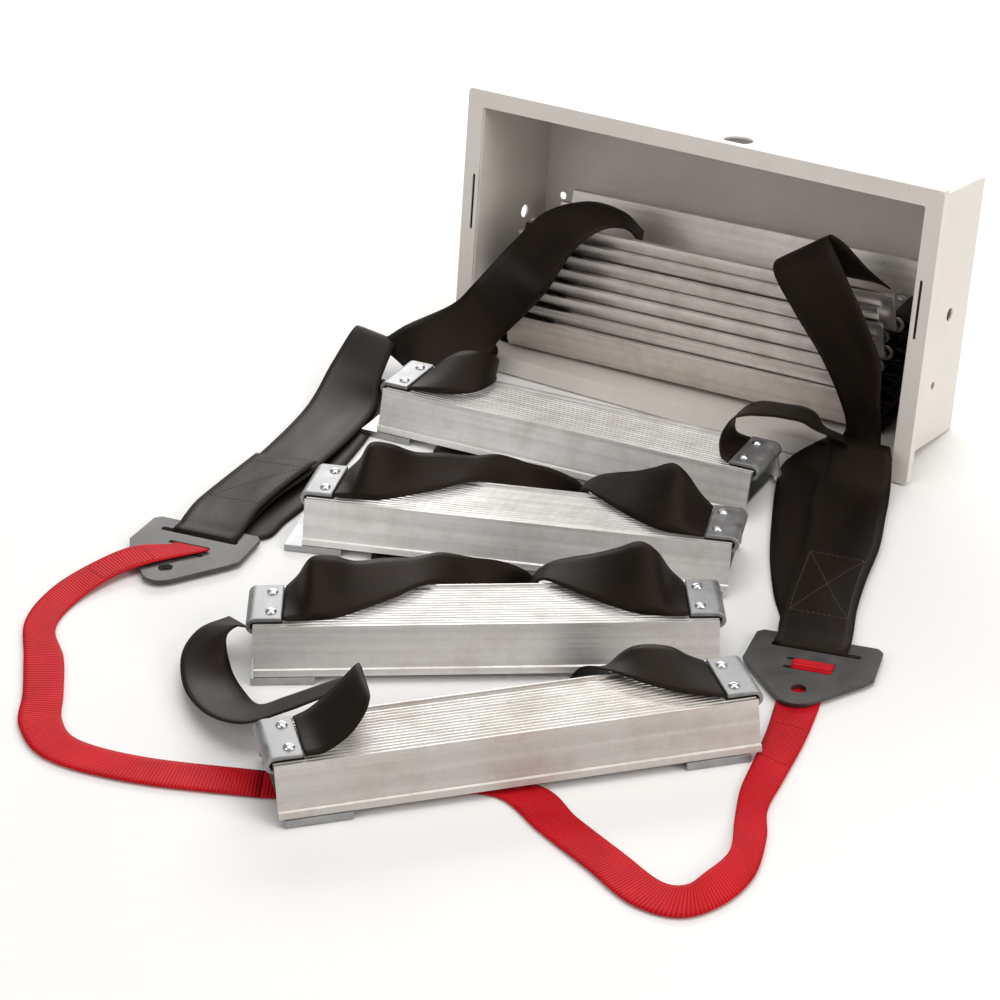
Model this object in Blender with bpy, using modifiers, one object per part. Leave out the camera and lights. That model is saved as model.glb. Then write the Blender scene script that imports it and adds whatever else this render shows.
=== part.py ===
"""Escape ladder with webbing sides, lying half unpacked in front of its in-wall steel box.

Four aluminium rungs lie on the floor, eight more are nested in the box, and two
anchor plates joined by a bridle strap end the ladder. Metres, +Z up, +X along the
width of the box, +Y towards its back. The origin is on the floor, under the middle
of the whole object.
"""
import math

import bmesh
import bpy
from mathutils import Matrix, Vector

# ---------------------------------------------------------------- placing
SHIFT = Vector((-0.0345, 0.2342, 0.0))   # from the box's front bottom edge to the origin
GAP = 0.0003                             # clearance between touching pieces

# ---------------------------------------------------------------- wall box
FLANGE_WIDTH = 0.387
FLANGE_HEIGHT = 0.215
FLANGE_BORDER = 0.013
FLANGE_RETURN = 0.008            # the fold round the flange's outer edge
BOX_SHEET = 0.0015
BODY_WIDTH = 0.362
BODY_HEIGHT = 0.192
BOX_DEPTH = 0.1015
BODY_BASE = 0.0115               # from the flange's bottom edge to the body's underside
# the box leans back until it rests on its rear bottom edge and the flange's fold
BOX_LEAN = math.atan2(BODY_BASE, BOX_DEPTH - FLANGE_RETURN)
FLANGE_SLOT = (0.0022, 0.043)
FLANGE_SLOT_PLACE = (0.1845, 0.1285)
SCREW_HOLE = 0.010
PILOT_HOLE = 0.006
CABLE_HOLE = 0.022
HOLE_CUT = 0.010                 # length of a cutter through the box's sheet
SCREW_PLACE = (0.0694, 0.1075)   # depth and height of a hole in a side wall
PILOT_RIGHT_PLACE = (0.056, 0.057)
PILOT_LEFT_PLACE = (0.088, 0.095)
CABLE_PLACE = (0.006, 0.0563)    # x and depth in the top wall
BACK_PLACE = (-0.164, 0.117)     # x and height in the back wall
RIM_CORNER = 0.003
OPENING_CORNER = 0.002
POCKET_CORNER = 0.0015
SLOT_CORNER = 0.0008

# ---------------------------------------------------------------- rungs
RUNG_LENGTH = 0.290
RUNG_HEIGHT = 0.029
TREAD_HALF = 0.025
WEB_FOOT_HALF = 0.034            # half width over the webs at their lower edge
WALL = 0.0025
BEAD_OUT = 0.0015
BEAD_HEIGHT = 0.0042
BEAD_SLOPE = 0.0004
RIB_COUNT = 14
RIB_PITCH = 0.0030
RIB_HEIGHT = 0.0006
RIB_FOOT = 0.0010                # half widths of a rib at its foot and crest
RIB_CREST = 0.0006
EDGE_LIP = 0.0009
EDGE_LIP_WIDTH = 0.0012
LIP_SLOPE = 0.0004
TREAD_BEND = 0.002               # height over which the tread's edge turns into the web
HOLE_CUT_TREAD = 0.012
HOLE_CUT_CLIP = 0.020

FOOT_LENGTH = 0.040
FOOT_HALF_WIDTH = 0.0368
FOOT_SHEET = 0.0016
RUNG_LIFT = 0.005                # height of the stand-off shoe under the webs

# centre x, centre y, yaw in degrees, then how far the left and right shoes reach past the ends
FLOOR_RUNGS = (
    ("rung_1", 0.1458, -0.4427, 47.2, -0.003, -0.007),
    ("rung_2", 0.0660, -0.3478, 34.5, 0.002, -0.003),
    ("rung_3", 0.0145, -0.2243, 20.3, 0.012, -0.003),
    ("rung_4", -0.0251, -0.0906, 5.8, 0.012, -0.006),
)

STACK_PITCH = 0.01186
STACK_BASE = 0.013
STACK_FRONT_MIDDLE = 0.0595
STACK_YAW = 3.3
STACK_OFFSETS = (-0.015, -0.012, -0.008, -0.005, -0.002, 0.004, 0.000, 0.011)

# ---------------------------------------------------------------- clips and rivets
CLIP_HALF = 0.021
CLIP_SHEET = 0.0028
CLIP_REACH = 0.018               # from the rung's end to the clip's inner edge
WEBBING_ROOM = 0.0018
RIVET_INBOARD = 0.011
RIVET_SPREAD = 0.012
RIVET_SHANK = 0.0020
RIVET_HOLE = 0.0023
RIVET_HEAD = 0.0036
RIVET_DOME = 0.0019
RIVET_TAIL = 0.0009

# ---------------------------------------------------------------- anchor plates
PLATE_HALF = 0.041
PLATE_SHEET = 0.003
PLATE_RAISE = 0.0020             # the plates lie on their straps
PLATE_HOLE_PLACE = 0.062
PLATE_HOLE = 0.0048
PLATE_NOSE = ((0.0, -0.066), 0.014)          # middle and radius of the round nose
PLATE_CORNER = 0.004
PLATE_SHOULDER = (0.001, -0.036, -0.044)     # how far it stands out, then where it starts and ends
# middle, length, width and end radius of each slot
PLATE_SLOTS = (
    (-0.0145, 0.058, 0.0042, 0.0020),
    (-0.0290, 0.031, 0.0034, 0.0016),
    (-0.0390, 0.031, 0.0034, 0.0016),
)
# middle of the wide edge and yaw in degrees
PLATES = (
    ("anchor_plate_left", -0.178, -0.321, 10.3),
    ("anchor_plate_right", 0.241, -0.226, 14.0),
)

# ---------------------------------------------------------------- webbing
WEBBING = 0.0014
RED_WEBBING = 0.0012
SAMPLES = 3                      # ribbon cross sections from one station to the next

# Stations are pairs of edge points, in millimetres. Webbing on a rung is given in
# that rung's own frame: x along it, y to its rear, z up from the floor. The bands and
# UNDER_NEXT are given for the left side; RIGHT_BAND and UNDER_NEXT are mirrored for the right.
LEFT_BAND = (
    ((-126, -21, 37), (-126, 21, 37)),
    ((-117, -21.5, 37), (-118, 20, 46)),
    ((-108, -21.5, 37), (-109, 16, 61)),
    ((-94, -19, 37), (-96, 21, 59)),
    ((-76, -8, 37), (-82, 30, 50)),
    ((-58, 4, 37.5), (-64, 40, 46)),
    ((-42, 17, 38), (-46, 46, 43)),
    ((-26, 29, 33), (-28, 52, 43)),
    ((-8, 37, 20), (-8, 54, 38)),
    ((8, 44, 10), (10, 56, 34)),
    ((22, 50, 4), (26, 58, 26)),
    ((32, 55, 3), (36, 60, 14)),
    ((30, 62, 2.4), (30, 72, 4)),
    ((12, 64, 2), (12, 98, 2)),
    ((-14, 62, 2), (-10, 99, 2)),
)
RIGHT_BAND = (
    ((-126, -21, 37), (-126, 21, 37)),
    ((-117, -21.5, 37), (-117, 20, 47)),
    ((-107, -21, 37), (-108, 17, 62)),
    ((-94, -18, 37), (-98, 22, 66)),
    ((-78, -8, 37), (-84, 30, 57)),
    ((-62, 4, 37.5), (-70, 39, 48)),
    ((-48, 16, 38), (-55, 45, 42)),
    ((-37, 27, 36), (-43, 48, 37)),
    ((-30, 34, 26), (-34, 49, 30)),
    ((-27, 38, 14), (-29, 48, 21)),
    ((-29, 40, 6), (-29, 49, 12)),
    ((-37, 41, 3), (-34, 52, 6)),
    ((-52, 43, 2.5), (-47, 62, 3)),
)
UNDER_NEXT = (
    ((-82, -62, 2), (-50, -50, 3)),
    ((-95, -40, 2), (-55, -40, 2)),
    ((-97, -28, 2), (-60, -26, 2)),
    ((-98, -20, 5), (-78, -4, 3)),
    ((-108, -14, 17), (-108, 12, 17)),
)
LOOP_1_TO_2 = (
    ((-126, -21, 37), (-126, 21, 37)),
    ((-114, -21, 38), (-115, 21, 42)),
    ((-98, -18, 47), (-100, 22, 54)),
    ((-86, -8, 58), (-85, 30, 62)),
    ((-86, 8, 58), (-83, 42, 48)),
    ((-104, 24, 46), (-98, 52, 38)),
    ((-128, 32, 34), (-122, 64, 24)),
    ((-152, 44, 22), (-136, 84, 8)),
    ((-170, 72, 14), (-142, 106, 5)),
    ((-178, 112, 9), (-146, 128, 8)),
    ((-174, 150, 10), (-146, 146, 20)),
    ((-160, 168, 16), (-138, 152, 24)),
    ((-140, 172, 20), (-131, 148, 24)),
)
FLAP_1_TO_2 = (
    ((126, 21, 37), (126, -21, 37)),
    ((116, 22, 42), (116, -18, 38)),
    ((104, 26, 48), (100, -10, 38)),
    ((86, 34, 46), (82, 4, 39)),
    ((76, 46, 30), (66, 22, 39)),
    ((76, 54, 16), (54, 37, 34)),
    ((78, 62, 6), (46, 47, 16)),
    ((86, 68, 2), (50, 62, 3)),
)
UNDER_SECOND = (
    ((95, -44, 2), (56, -44, 2)),
    ((96, -30, 2), (60, -28, 2)),
    ((98, -20, 5), (78, -6, 3)),
    ((108, -14, 17), (108, 12, 17)),
)
LEFT_4_TO_STACK = (
    ((-126, -21, 37), (-126, 21, 37)),
    ((-114, -21, 38), (-116, 20, 47)),
    ((-100, -20, 39), (-104, 22, 54)),
    ((-86, -16, 40), (-92, 26, 55)),
    ((-76, -6, 40), (-84, 34, 50)),
    ((-74, 10, 38.5), (-86, 46, 40)),
    ((-80, 30, 34), (-96, 54, 28)),
    ((-92, 46, 16), (-116, 58, 14)),
    ((-108, 58, 5), (-142, 60, 5)),
)
INTO_BOX_LEFT = (
    ((-150, -17, 3), (-186, -17, 3)),
    ((-152, -6, 10), (-178, -6, 10)),
    ((-153, 3, 16.5), (-177, 3, 16.5)),
    ((-163, 14, 16.5), (-177, 14, 16.5)),
)
RIGHT_4_TO_STACK = (
    ((126, 21, 37), (126, -21, 37)),
    ((119, 21.5, 37.5), (121, -20.5, 39)),
    ((114, 24, 37.5), (117.5, -16, 42.5)),
    ((110.5, 29, 37.5), (115, -10, 46.5)),
    ((107.5, 36, 37), (114.5, -2.5, 51)),
    ((105.5, 44, 39.5), (117, 7, 55.5)),
    ((109, 54, 43.5), (123.5, 16.5, 55.5)),
    ((115, 63, 44.5), (131, 25.5, 53)),
    ((121.5, 71, 42), (137, 34, 50)),
    ((129, 80, 38), (143.5, 44.5, 45)),
)
INTO_BOX_RIGHT = (
    ((104, 12, 34), (119, -20, 39)),
    ((114, 13, 31), (127, -15, 33)),
    ((126, 3, 28), (138, -11, 29)),
    ((141, 0, 27), (150, -9, 26)),
)
TOP_STRAP_LEFT = (
    ((-196, -337, 6.4), (-149, -328, 6.4)),
    ((-200, -324, 6.4), (-154, -314, 6.4)),
    ((-209, -300, 3), (-160, -291, 6)),
    ((-215, -225, 3.6), (-165, -220, 6)),
    ((-232, -140, 4.6), (-183, -122, 5)),
    ((-250, -81, 14), (-199, -90, 14)),
    ((-255, -42, 29), (-212, -48, 29)),
    ((-247, -43, 23), (-206, -55, 21)),
    ((-226, -46, 28), (-190, -64, 16)),
    ((-207, -40, 42), (-177, -66, 17)),
    ((-182, -17, 56), (-147, -38, 18)),
    ((-171, -5, 70), (-140, -16, 36)),
    ((-156, -6, 88), (-118, -12, 62)),
    ((-132, -8, 116), (-92, -24, 92)),
    ((-118, 14, 135), (-78, -10, 122)),
    ((-92, 32, 143), (-66, 8, 134)),
    ((-66, 40, 138), (-54, 24, 132)),
    ((-54, 50, 122), (-48, 36, 117)),
)
TOP_STRAP_RIGHT = (
    ((216, -244, 6.4), (264, -232, 6.4)),
    ((211, -232, 6.4), (260, -219, 6.4)),
    ((204, -216, 3), (252, -203, 3)),
    ((184, -184, 2), (238, -168, 2)),
    ((162, -146, 2), (229, -134, 2)),
    ((140, -100, 2), (216, -92, 2)),
    ((118, -54, 2), (202, -52, 2)),
    ((107, -24, 3), (192, -24, 6)),
    ((114, -8, 12), (184, -12, 18)),
    ((126, 0, 17.5), (179, -2, 21.5)),
    ((141, 6, 34), (166, 12, 30)),
    ((133, 5, 56), (165, 9, 54)),
    ((118, 6, 80), (163, 9, 84)),
    ((97, 5, 108), (150, 8, 114)),
    ((76, 10, 132), (126, 14, 148)),
    ((74, 20, 140), (108, 28, 162)),
    ((86, 30, 134), (117, 34, 157)),
    ((112, 42, 128), (134, 40, 139)),
    ((138, 54, 124), (150, 46, 125)),
)
BRIDLE = (
    ((-183, -352, 6.2), (-155, -347, 6.2)),
    ((-192, -362, 6.2), (-164, -364, 6.2)),
    ((-202, -374, 6.4), (-178, -386, 6.4)),
    ((-214, -402, 3), (-188, -412, 5)),
    ((-216, -440, 1.6), (-190, -448, 1.6)),
    ((-203, -480, 1.6), (-179, -478, 1.6)),
    ((-173, -515, 1.6), (-151, -502, 1.6)),
    ((-145, -547, 1.6), (-124, -533, 1.6)),
    ((-122, -576, 1.6), (-104, -557, 1.6)),
    ((-84, -594, 1.6), (-80, -568, 1.6)),
    ((-26, -585, 1.6), (-34, -560, 1.6)),
    ((46, -556, 1.2), (32, -533, 1.2)),
    ((84, -536, 1.2), (71, -514, 1.2)),
    ((126, -502, 1.2), (112, -480, 1.2)),
    ((160, -481, 1.2), (174, -458, 1.2)),
    ((200, -497, 1.4), (212, -474, 1.4)),
    ((240, -512, 1.6), (251, -489, 1.6)),
    ((278, -527, 1.6), (282, -502, 3)),
    ((307, -523, 1.6), (297, -500, 5)),
    ((321, -500, 1.6), (301, -486, 6)),
    ((323, -468, 1.6), (302, -459, 5)),
    ((312, -433, 1.6), (288, -427, 2)),
    ((299, -407, 1.6), (276, -398, 1.6)),
    ((293, -377, 1.6), (269, -371, 1.6)),
    ((285, -335, 1.6), (260, -336, 1.6)),
    ((276, -300, 1.0), (250, -306, 1.0)),
    ((266, -266, 1.0), (239, -273, 1.0)),
)

COLLECTION = "escape_ladder"
CUTTERS = "cutters"


# ---------------------------------------------------------------- scene helpers
def clear_scene():
    for item in list(bpy.data.objects):
        bpy.data.objects.remove(item, do_unlink=True)


def make_collection(name):
    collection = bpy.data.collections.new(name)
    bpy.context.scene.collection.children.link(collection)
    return collection


def make_material(name, color, roughness, metallic):
    material = bpy.data.materials.new(name)
    material.use_nodes = True
    shader = material.node_tree.nodes["Principled BSDF"]
    shader.inputs["Base Color"].default_value = (*color, 1.0)
    shader.inputs["Roughness"].default_value = roughness
    shader.inputs["Metallic"].default_value = metallic
    return material


def make_materials():
    return {
        "box": make_material("white_powder_coat", (0.80, 0.78, 0.74), 0.45, 0.0),
        "rung": make_material("mill_aluminium", (0.62, 0.60, 0.58), 0.35, 1.0),
        "clip": make_material("clip_aluminium", (0.58, 0.57, 0.56), 0.32, 1.0),
        "rivet": make_material("rivet_aluminium", (0.66, 0.65, 0.64), 0.25, 1.0),
        "shoe": make_material("shoe_aluminium", (0.50, 0.50, 0.49), 0.40, 1.0),
        "plate": make_material("dark_steel", (0.16, 0.16, 0.17), 0.38, 1.0),
        "black": make_material("black_webbing", (0.012, 0.010, 0.009), 0.60, 0.0),
        "red": make_material("red_webbing", (0.62, 0.010, 0.020), 0.65, 0.0),
    }


def add_object(name, mesh, material, matrix, collection=COLLECTION):
    part = bpy.data.objects.new(name, mesh)
    mesh.materials.clear()
    mesh.materials.append(material)
    part.matrix_world = matrix
    bpy.data.collections[collection].objects.link(part)
    return part


def add_pivot(name, matrix):
    pivot = bpy.data.objects.new(name, None)
    pivot.matrix_world = matrix
    pivot.empty_display_size = 0.02
    bpy.data.collections[COLLECTION].objects.link(pivot)
    return pivot


def hang_on(pivot, part):
    place = part.matrix_world.copy()
    part.parent = pivot
    part.matrix_parent_inverse = Matrix.Identity(4)
    part.matrix_basis = pivot.matrix_world.inverted() @ place


# ---------------------------------------------------------------- frames
def place(x, y, z=0.0, yaw=0.0):
    """Frame at a point given from the box's front bottom edge, turned about +Z."""
    return Matrix.Translation(SHIFT + Vector((x, y, z))) @ Matrix.Rotation(math.radians(yaw), 4, "Z")


def box_frame():
    """Box frame: x along the width, y into the depth, z up the leaning front."""
    raise_on_fold = FLANGE_RETURN * math.sin(BOX_LEAN)
    return place(0.0, 0.0, raise_on_fold) @ Matrix.Rotation(-BOX_LEAN, 4, "X")


def along_x():
    """Turns an outline drawn in (y, z) and extruded along its normal to run along x."""
    return Matrix(((0, 0, 1, 0), (1, 0, 0, 0), (0, 1, 0, 0), (0, 0, 0, 1)))


def along_y():
    """Turns an outline drawn in (x, z) and extruded along its normal to run along y."""
    return Matrix(((1, 0, 0, 0), (0, 0, -1, 0), (0, 1, 0, 0), (0, 0, 0, 1)))


# ---------------------------------------------------------------- shapes
def outline_mesh(name, outlines, thickness):
    """Extruded flat outline, centred on its plane. The first loop is the rim, the rest are holes."""
    curve = bpy.data.curves.new(name, "CURVE")
    curve.dimensions = "2D"
    curve.fill_mode = "BOTH"
    curve.extrude = thickness / 2
    for outline in outlines:
        spline = curve.splines.new("POLY")
        spline.points.add(len(outline) - 1)
        for point, (x, y) in zip(spline.points, outline):
            point.co = (x, y, 0.0, 1.0)
        spline.use_cyclic_u = True
    guide = bpy.data.objects.new(name + "_outline", curve)
    bpy.context.scene.collection.objects.link(guide)
    bpy.context.view_layer.update()
    evaluated = guide.evaluated_get(bpy.context.evaluated_depsgraph_get())
    mesh = bpy.data.meshes.new_from_object(evaluated)
    mesh.name = name
    bpy.data.objects.remove(guide, do_unlink=True)
    bpy.data.curves.remove(curve)
    weld(mesh)
    return mesh


def weld(mesh):
    body = bmesh.new()
    body.from_mesh(mesh)
    bmesh.ops.remove_doubles(body, verts=body.verts, dist=0.00001)
    bmesh.ops.recalc_face_normals(body, faces=body.faces)
    body.to_mesh(mesh)
    body.free()


def arc(center, radius, start, end, steps):
    """Points along an arc, with angles in degrees."""
    points = []
    for step in range(steps + 1):
        angle = math.radians(start + (end - start) * step / steps)
        points.append((center[0] + radius * math.cos(angle), center[1] + radius * math.sin(angle)))
    return points


def circle(center, radius, steps):
    return arc(center, radius, 0, 360, steps)[:-1]


def rounded_rectangle(center, width, height, radius, steps=3):
    points = []
    corners = ((1, -1, -90), (1, 1, 0), (-1, 1, 90), (-1, -1, 180))
    for side_x, side_y, start in corners:
        corner = (
            center[0] + side_x * (width / 2 - radius),
            center[1] + side_y * (height / 2 - radius),
        )
        points += arc(corner, radius, start, start + 90, steps)
    return points


def cylinder_cutter(name, radius, length, matrix, segments=16):
    mesh = bpy.data.meshes.new(name)
    body = bmesh.new()
    bmesh.ops.create_cone(
        body, cap_ends=True, segments=segments, radius1=radius, radius2=radius, depth=length
    )
    body.to_mesh(mesh)
    body.free()
    return add_cutter(name, mesh, matrix)


def add_cutter(name, mesh, matrix):
    cutter = bpy.data.objects.new(name, mesh)
    cutter.matrix_world = matrix
    cutter.hide_render = True
    cutter.display_type = "WIRE"
    bpy.data.collections[CUTTERS].objects.link(cutter)
    return cutter


def cut(part, cutter):
    modifier = part.modifiers.new(cutter.name, "BOOLEAN")
    modifier.operation = "DIFFERENCE"
    modifier.solver = "EXACT"
    modifier.object = cutter


# ---------------------------------------------------------------- wall box
def build_box_shell(material):
    depth = BOX_DEPTH - BOX_SHEET - GAP
    mesh = bpy.data.meshes.new("box_shell")
    body = bmesh.new()
    bmesh.ops.create_cube(body, size=1.0)
    bmesh.ops.scale(body, vec=(BODY_WIDTH, depth, BODY_HEIGHT), verts=body.verts)
    front = [face for face in body.faces if face.normal.y < -0.5]
    bmesh.ops.delete(body, geom=front, context="FACES")
    body.to_mesh(mesh)
    body.free()
    middle = Vector((0.0, BOX_SHEET + GAP + depth / 2, BODY_BASE + BODY_HEIGHT / 2))
    shell = add_object("box_shell", mesh, material, box_frame() @ Matrix.Translation(middle))
    solidify = shell.modifiers.new("sheet", "SOLIDIFY")
    solidify.thickness = BOX_SHEET
    solidify.offset = -1.0
    solidify.use_even_offset = True
    half = BODY_WIDTH / 2
    top = BODY_BASE + BODY_HEIGHT
    sideways = Matrix.Rotation(math.pi / 2, 4, "Y")
    backwards = Matrix.Rotation(math.pi / 2, 4, "X")
    upright = Matrix.Identity(4)
    holes = (
        ("screw_hole_right", SCREW_HOLE, (half, *SCREW_PLACE), sideways),
        ("screw_hole_left", SCREW_HOLE, (-half, *SCREW_PLACE), sideways),
        ("pilot_hole_right", PILOT_HOLE, (half, *PILOT_RIGHT_PLACE), sideways),
        ("pilot_hole_left", PILOT_HOLE, (-half, *PILOT_LEFT_PLACE), sideways),
        ("cable_hole", CABLE_HOLE, (*CABLE_PLACE, top), upright),
        ("back_hole", PILOT_HOLE, (BACK_PLACE[0], BOX_DEPTH, BACK_PLACE[1]), backwards),
    )
    for name, diameter, point, turn in holes:
        matrix = box_frame() @ Matrix.Translation(Vector(point)) @ turn
        cut(shell, cylinder_cutter(name, diameter / 2, HOLE_CUT, matrix))


def build_face_flange(material):
    """Frame round the opening, with its outer edge folded back."""
    middle = (0.0, FLANGE_HEIGHT / 2)
    rim = rounded_rectangle(middle, FLANGE_WIDTH, FLANGE_HEIGHT, RIM_CORNER)
    opening = rounded_rectangle(
        middle, FLANGE_WIDTH - 2 * FLANGE_BORDER, FLANGE_HEIGHT - 2 * FLANGE_BORDER, OPENING_CORNER
    )
    loops = [rim, opening]
    for side in (-1, 1):
        slot = (side * FLANGE_SLOT_PLACE[0], FLANGE_SLOT_PLACE[1])
        loops.append(rounded_rectangle(slot, *FLANGE_SLOT, SLOT_CORNER, 2))
    mesh = outline_mesh("face_flange", loops, FLANGE_RETURN)
    turn = along_y()
    middle_depth = Matrix.Translation(Vector((0.0, FLANGE_RETURN / 2, 0.0)))
    flange = add_object("face_flange", mesh, material, box_frame() @ middle_depth @ turn)
    inner_rim = rounded_rectangle(
        middle, FLANGE_WIDTH - 2 * BOX_SHEET, FLANGE_HEIGHT - 2 * BOX_SHEET, POCKET_CORNER
    )
    pocket = outline_mesh("flange_pocket", [inner_rim], FLANGE_RETURN)
    behind_face = Matrix.Translation(Vector((0.0, BOX_SHEET + FLANGE_RETURN / 2, 0.0)))
    cut(flange, add_cutter("flange_pocket", pocket, box_frame() @ behind_face @ turn))


# ---------------------------------------------------------------- rungs
def rung_profile(ribbed):
    """Section in (y, z) of the splayed channel, tread up, webs' lower edge at z = 0."""
    slope = (WEB_FOOT_HALF - TREAD_HALF) / RUNG_HEIGHT
    web_width = WALL * math.sqrt(1 + slope * slope)
    tread_under = RUNG_HEIGHT - WALL
    under_half = TREAD_HALF + slope * WALL - web_width
    bead_top = WEB_FOOT_HALF - slope * BEAD_HEIGHT
    right = [
        (TREAD_HALF, RUNG_HEIGHT + EDGE_LIP),
        (TREAD_HALF + slope * TREAD_BEND, RUNG_HEIGHT - TREAD_BEND),
        (bead_top, BEAD_HEIGHT),
        (bead_top + BEAD_OUT, BEAD_HEIGHT - BEAD_SLOPE),
        (WEB_FOOT_HALF + BEAD_OUT, 0.0),
        (WEB_FOOT_HALF - web_width, 0.0),
        (under_half, tread_under),
    ]
    left = [(-y, z) for y, z in reversed(right)]
    top = []
    if ribbed:
        lip = TREAD_HALF - EDGE_LIP_WIDTH
        top.append((-lip, RUNG_HEIGHT + EDGE_LIP))
        top.append((-lip + LIP_SLOPE, RUNG_HEIGHT - RIB_HEIGHT))
        for index in range(RIB_COUNT):
            middle = (index - (RIB_COUNT - 1) / 2) * RIB_PITCH
            top.append((middle - RIB_FOOT, RUNG_HEIGHT - RIB_HEIGHT))
            top.append((middle - RIB_CREST, RUNG_HEIGHT))
            top.append((middle + RIB_CREST, RUNG_HEIGHT))
            top.append((middle + RIB_FOOT, RUNG_HEIGHT - RIB_HEIGHT))
        top.append((lip - LIP_SLOPE, RUNG_HEIGHT - RIB_HEIGHT))
        top.append((lip, RUNG_HEIGHT + EDGE_LIP))
    return right + left + top


def build_floor_rung(name, base, material):
    mesh = outline_mesh(name, [rung_profile(True)], RUNG_LENGTH)
    rung = add_object(name + "_channel", mesh, material, base @ along_x())
    for side in (-1, 1):
        for spread in (-1, 1):
            point = rivet_point(side, spread)
            matrix = base @ Matrix.Translation(Vector((*point, RUNG_HEIGHT)))
            cutter = cylinder_cutter(f"{name}_hole", RIVET_HOLE, HOLE_CUT_TREAD, matrix, 12)
            cut(rung, cutter)
    return rung


def rivet_point(side, spread):
    return side * (RUNG_LENGTH / 2 - RIVET_INBOARD), spread * RIVET_SPREAD


def clip_levels():
    """Heights of the clip's outer and inner faces, above the webs' lower edge."""
    inner_top = RUNG_HEIGHT + WEBBING_ROOM
    inner_bottom = RUNG_HEIGHT - WALL - WEBBING_ROOM
    return inner_bottom - CLIP_SHEET, inner_bottom, inner_top, inner_top + CLIP_SHEET


def clip_profile():
    """U section in (x, z) round the right end of a tread."""
    low, inner_low, inner_high, high = clip_levels()
    middle = (low + high) / 2
    inner_radius = (inner_high - inner_low) / 2
    outer_radius = (high - low) / 2
    center = (RUNG_LENGTH / 2 + WEBBING_ROOM - inner_radius, middle)
    reach = RUNG_LENGTH / 2 - CLIP_REACH
    outer = arc(center, outer_radius, -90, 90, 8)
    inner = arc(center, inner_radius, 90, -90, 6)
    return [(reach, low)] + outer + [(reach, high), (reach, inner_high)] + inner + [(reach, inner_low)]


def build_clip(name, base, side, material):
    profile = [(side * x, z) for x, z in clip_profile()]
    mesh = outline_mesh(name, [profile], 2 * CLIP_HALF)
    clip = add_object(name, mesh, material, base @ along_y())
    middle = sum(clip_levels()) / 4
    for spread in (-1, 1):
        point = rivet_point(side, spread)
        matrix = base @ Matrix.Translation(Vector((*point, middle)))
        cut(clip, cylinder_cutter(name + "_hole", RIVET_HOLE, HOLE_CUT_CLIP, matrix, 12))
    return clip


def build_rivet(name, base, side, spread, material):
    """Domed head, shank through clip and tread, and a flat tail below."""
    low, _, _, high = clip_levels()
    seat = high + GAP
    tail = low - GAP
    profile = (
        (0.0, seat + RIVET_DOME),
        (RIVET_HEAD * 0.55, seat + RIVET_DOME * 0.82),
        (RIVET_HEAD * 0.90, seat + RIVET_DOME * 0.40),
        (RIVET_HEAD, seat),
        (RIVET_SHANK, seat),
        (RIVET_SHANK, tail),
        (RIVET_HEAD * 0.85, tail),
        (RIVET_HEAD * 0.85, tail - RIVET_TAIL),
        (0.0, tail - RIVET_TAIL),
    )
    mesh = bpy.data.meshes.new(name)
    edges = [(index, index + 1) for index in range(len(profile) - 1)]
    mesh.from_pydata([(x, 0.0, z) for x, z in profile], edges, [])
    point = rivet_point(side, spread)
    rivet = add_object(name, mesh, material, base @ Matrix.Translation(Vector((*point, 0.0))))
    screw = rivet.modifiers.new("turned", "SCREW")
    screw.steps = 12
    screw.render_steps = 12
    screw.use_merge_vertices = True
    screw.merge_threshold = 0.00002
    screw.use_smooth_shade = True
    return rivet


def build_shoe(name, floor_base, start, material):
    """Shallow inverted channel that the webs stand on near the rung's end."""
    height = RUNG_LIFT - GAP
    outer = FOOT_HALF_WIDTH
    inner = FOOT_HALF_WIDTH - FOOT_SHEET
    under = height - FOOT_SHEET
    section = [
        (-outer, 0.0), (-inner, 0.0), (-inner, under), (inner, under),
        (inner, 0.0), (outer, 0.0), (outer, height), (-outer, height),
    ]
    mesh = outline_mesh(name, [section], FOOT_LENGTH)
    middle = Matrix.Translation(Vector((start + FOOT_LENGTH / 2, 0.0, 0.0)))
    return add_object(name, mesh, material, floor_base @ middle @ along_x())


def rung_frame(name):
    for rung in FLOOR_RUNGS:
        if rung[0] == name:
            return place(rung[1], rung[2], 0.0, rung[3])
    raise ValueError(name)


def build_floor_rungs(materials):
    for name, x, y, yaw, left_reach, right_reach in FLOOR_RUNGS:
        floor_base = place(x, y, 0.0, yaw)
        base = place(x, y, RUNG_LIFT, yaw)
        pivot = add_pivot(name + "_pivot", floor_base)
        hang_on(pivot, build_floor_rung(name, base, materials["rung"]))
        for label, side in (("left", -1), ("right", 1)):
            hang_on(pivot, build_clip(f"{name}_clip_{label}", base, side, materials["clip"]))
            for end, spread in (("front", -1), ("rear", 1)):
                rivet = f"{name}_rivet_{label}_{end}"
                hang_on(pivot, build_rivet(rivet, base, side, spread, materials["rivet"]))
            if side < 0:
                start = -RUNG_LENGTH / 2 - left_reach
            else:
                start = RUNG_LENGTH / 2 + right_reach - FOOT_LENGTH
            hang_on(pivot, build_shoe(f"{name}_shoe_{label}", floor_base, start, materials["shoe"]))


def build_stack(material):
    """Rungs nested in the box, upside down, so their open sides face up."""
    for index, offset in enumerate(STACK_OFFSETS):
        name = f"stack_rung_{index + 1}"
        level = STACK_BASE + RUNG_HEIGHT + EDGE_LIP + index * STACK_PITCH
        upside_down = Matrix.Rotation(math.pi, 4, "X")
        base = place(offset, STACK_FRONT_MIDDLE, level, STACK_YAW) @ upside_down
        mesh = outline_mesh(name, [rung_profile(False)], RUNG_LENGTH)
        add_object(name, mesh, material, base @ along_x())


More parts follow.
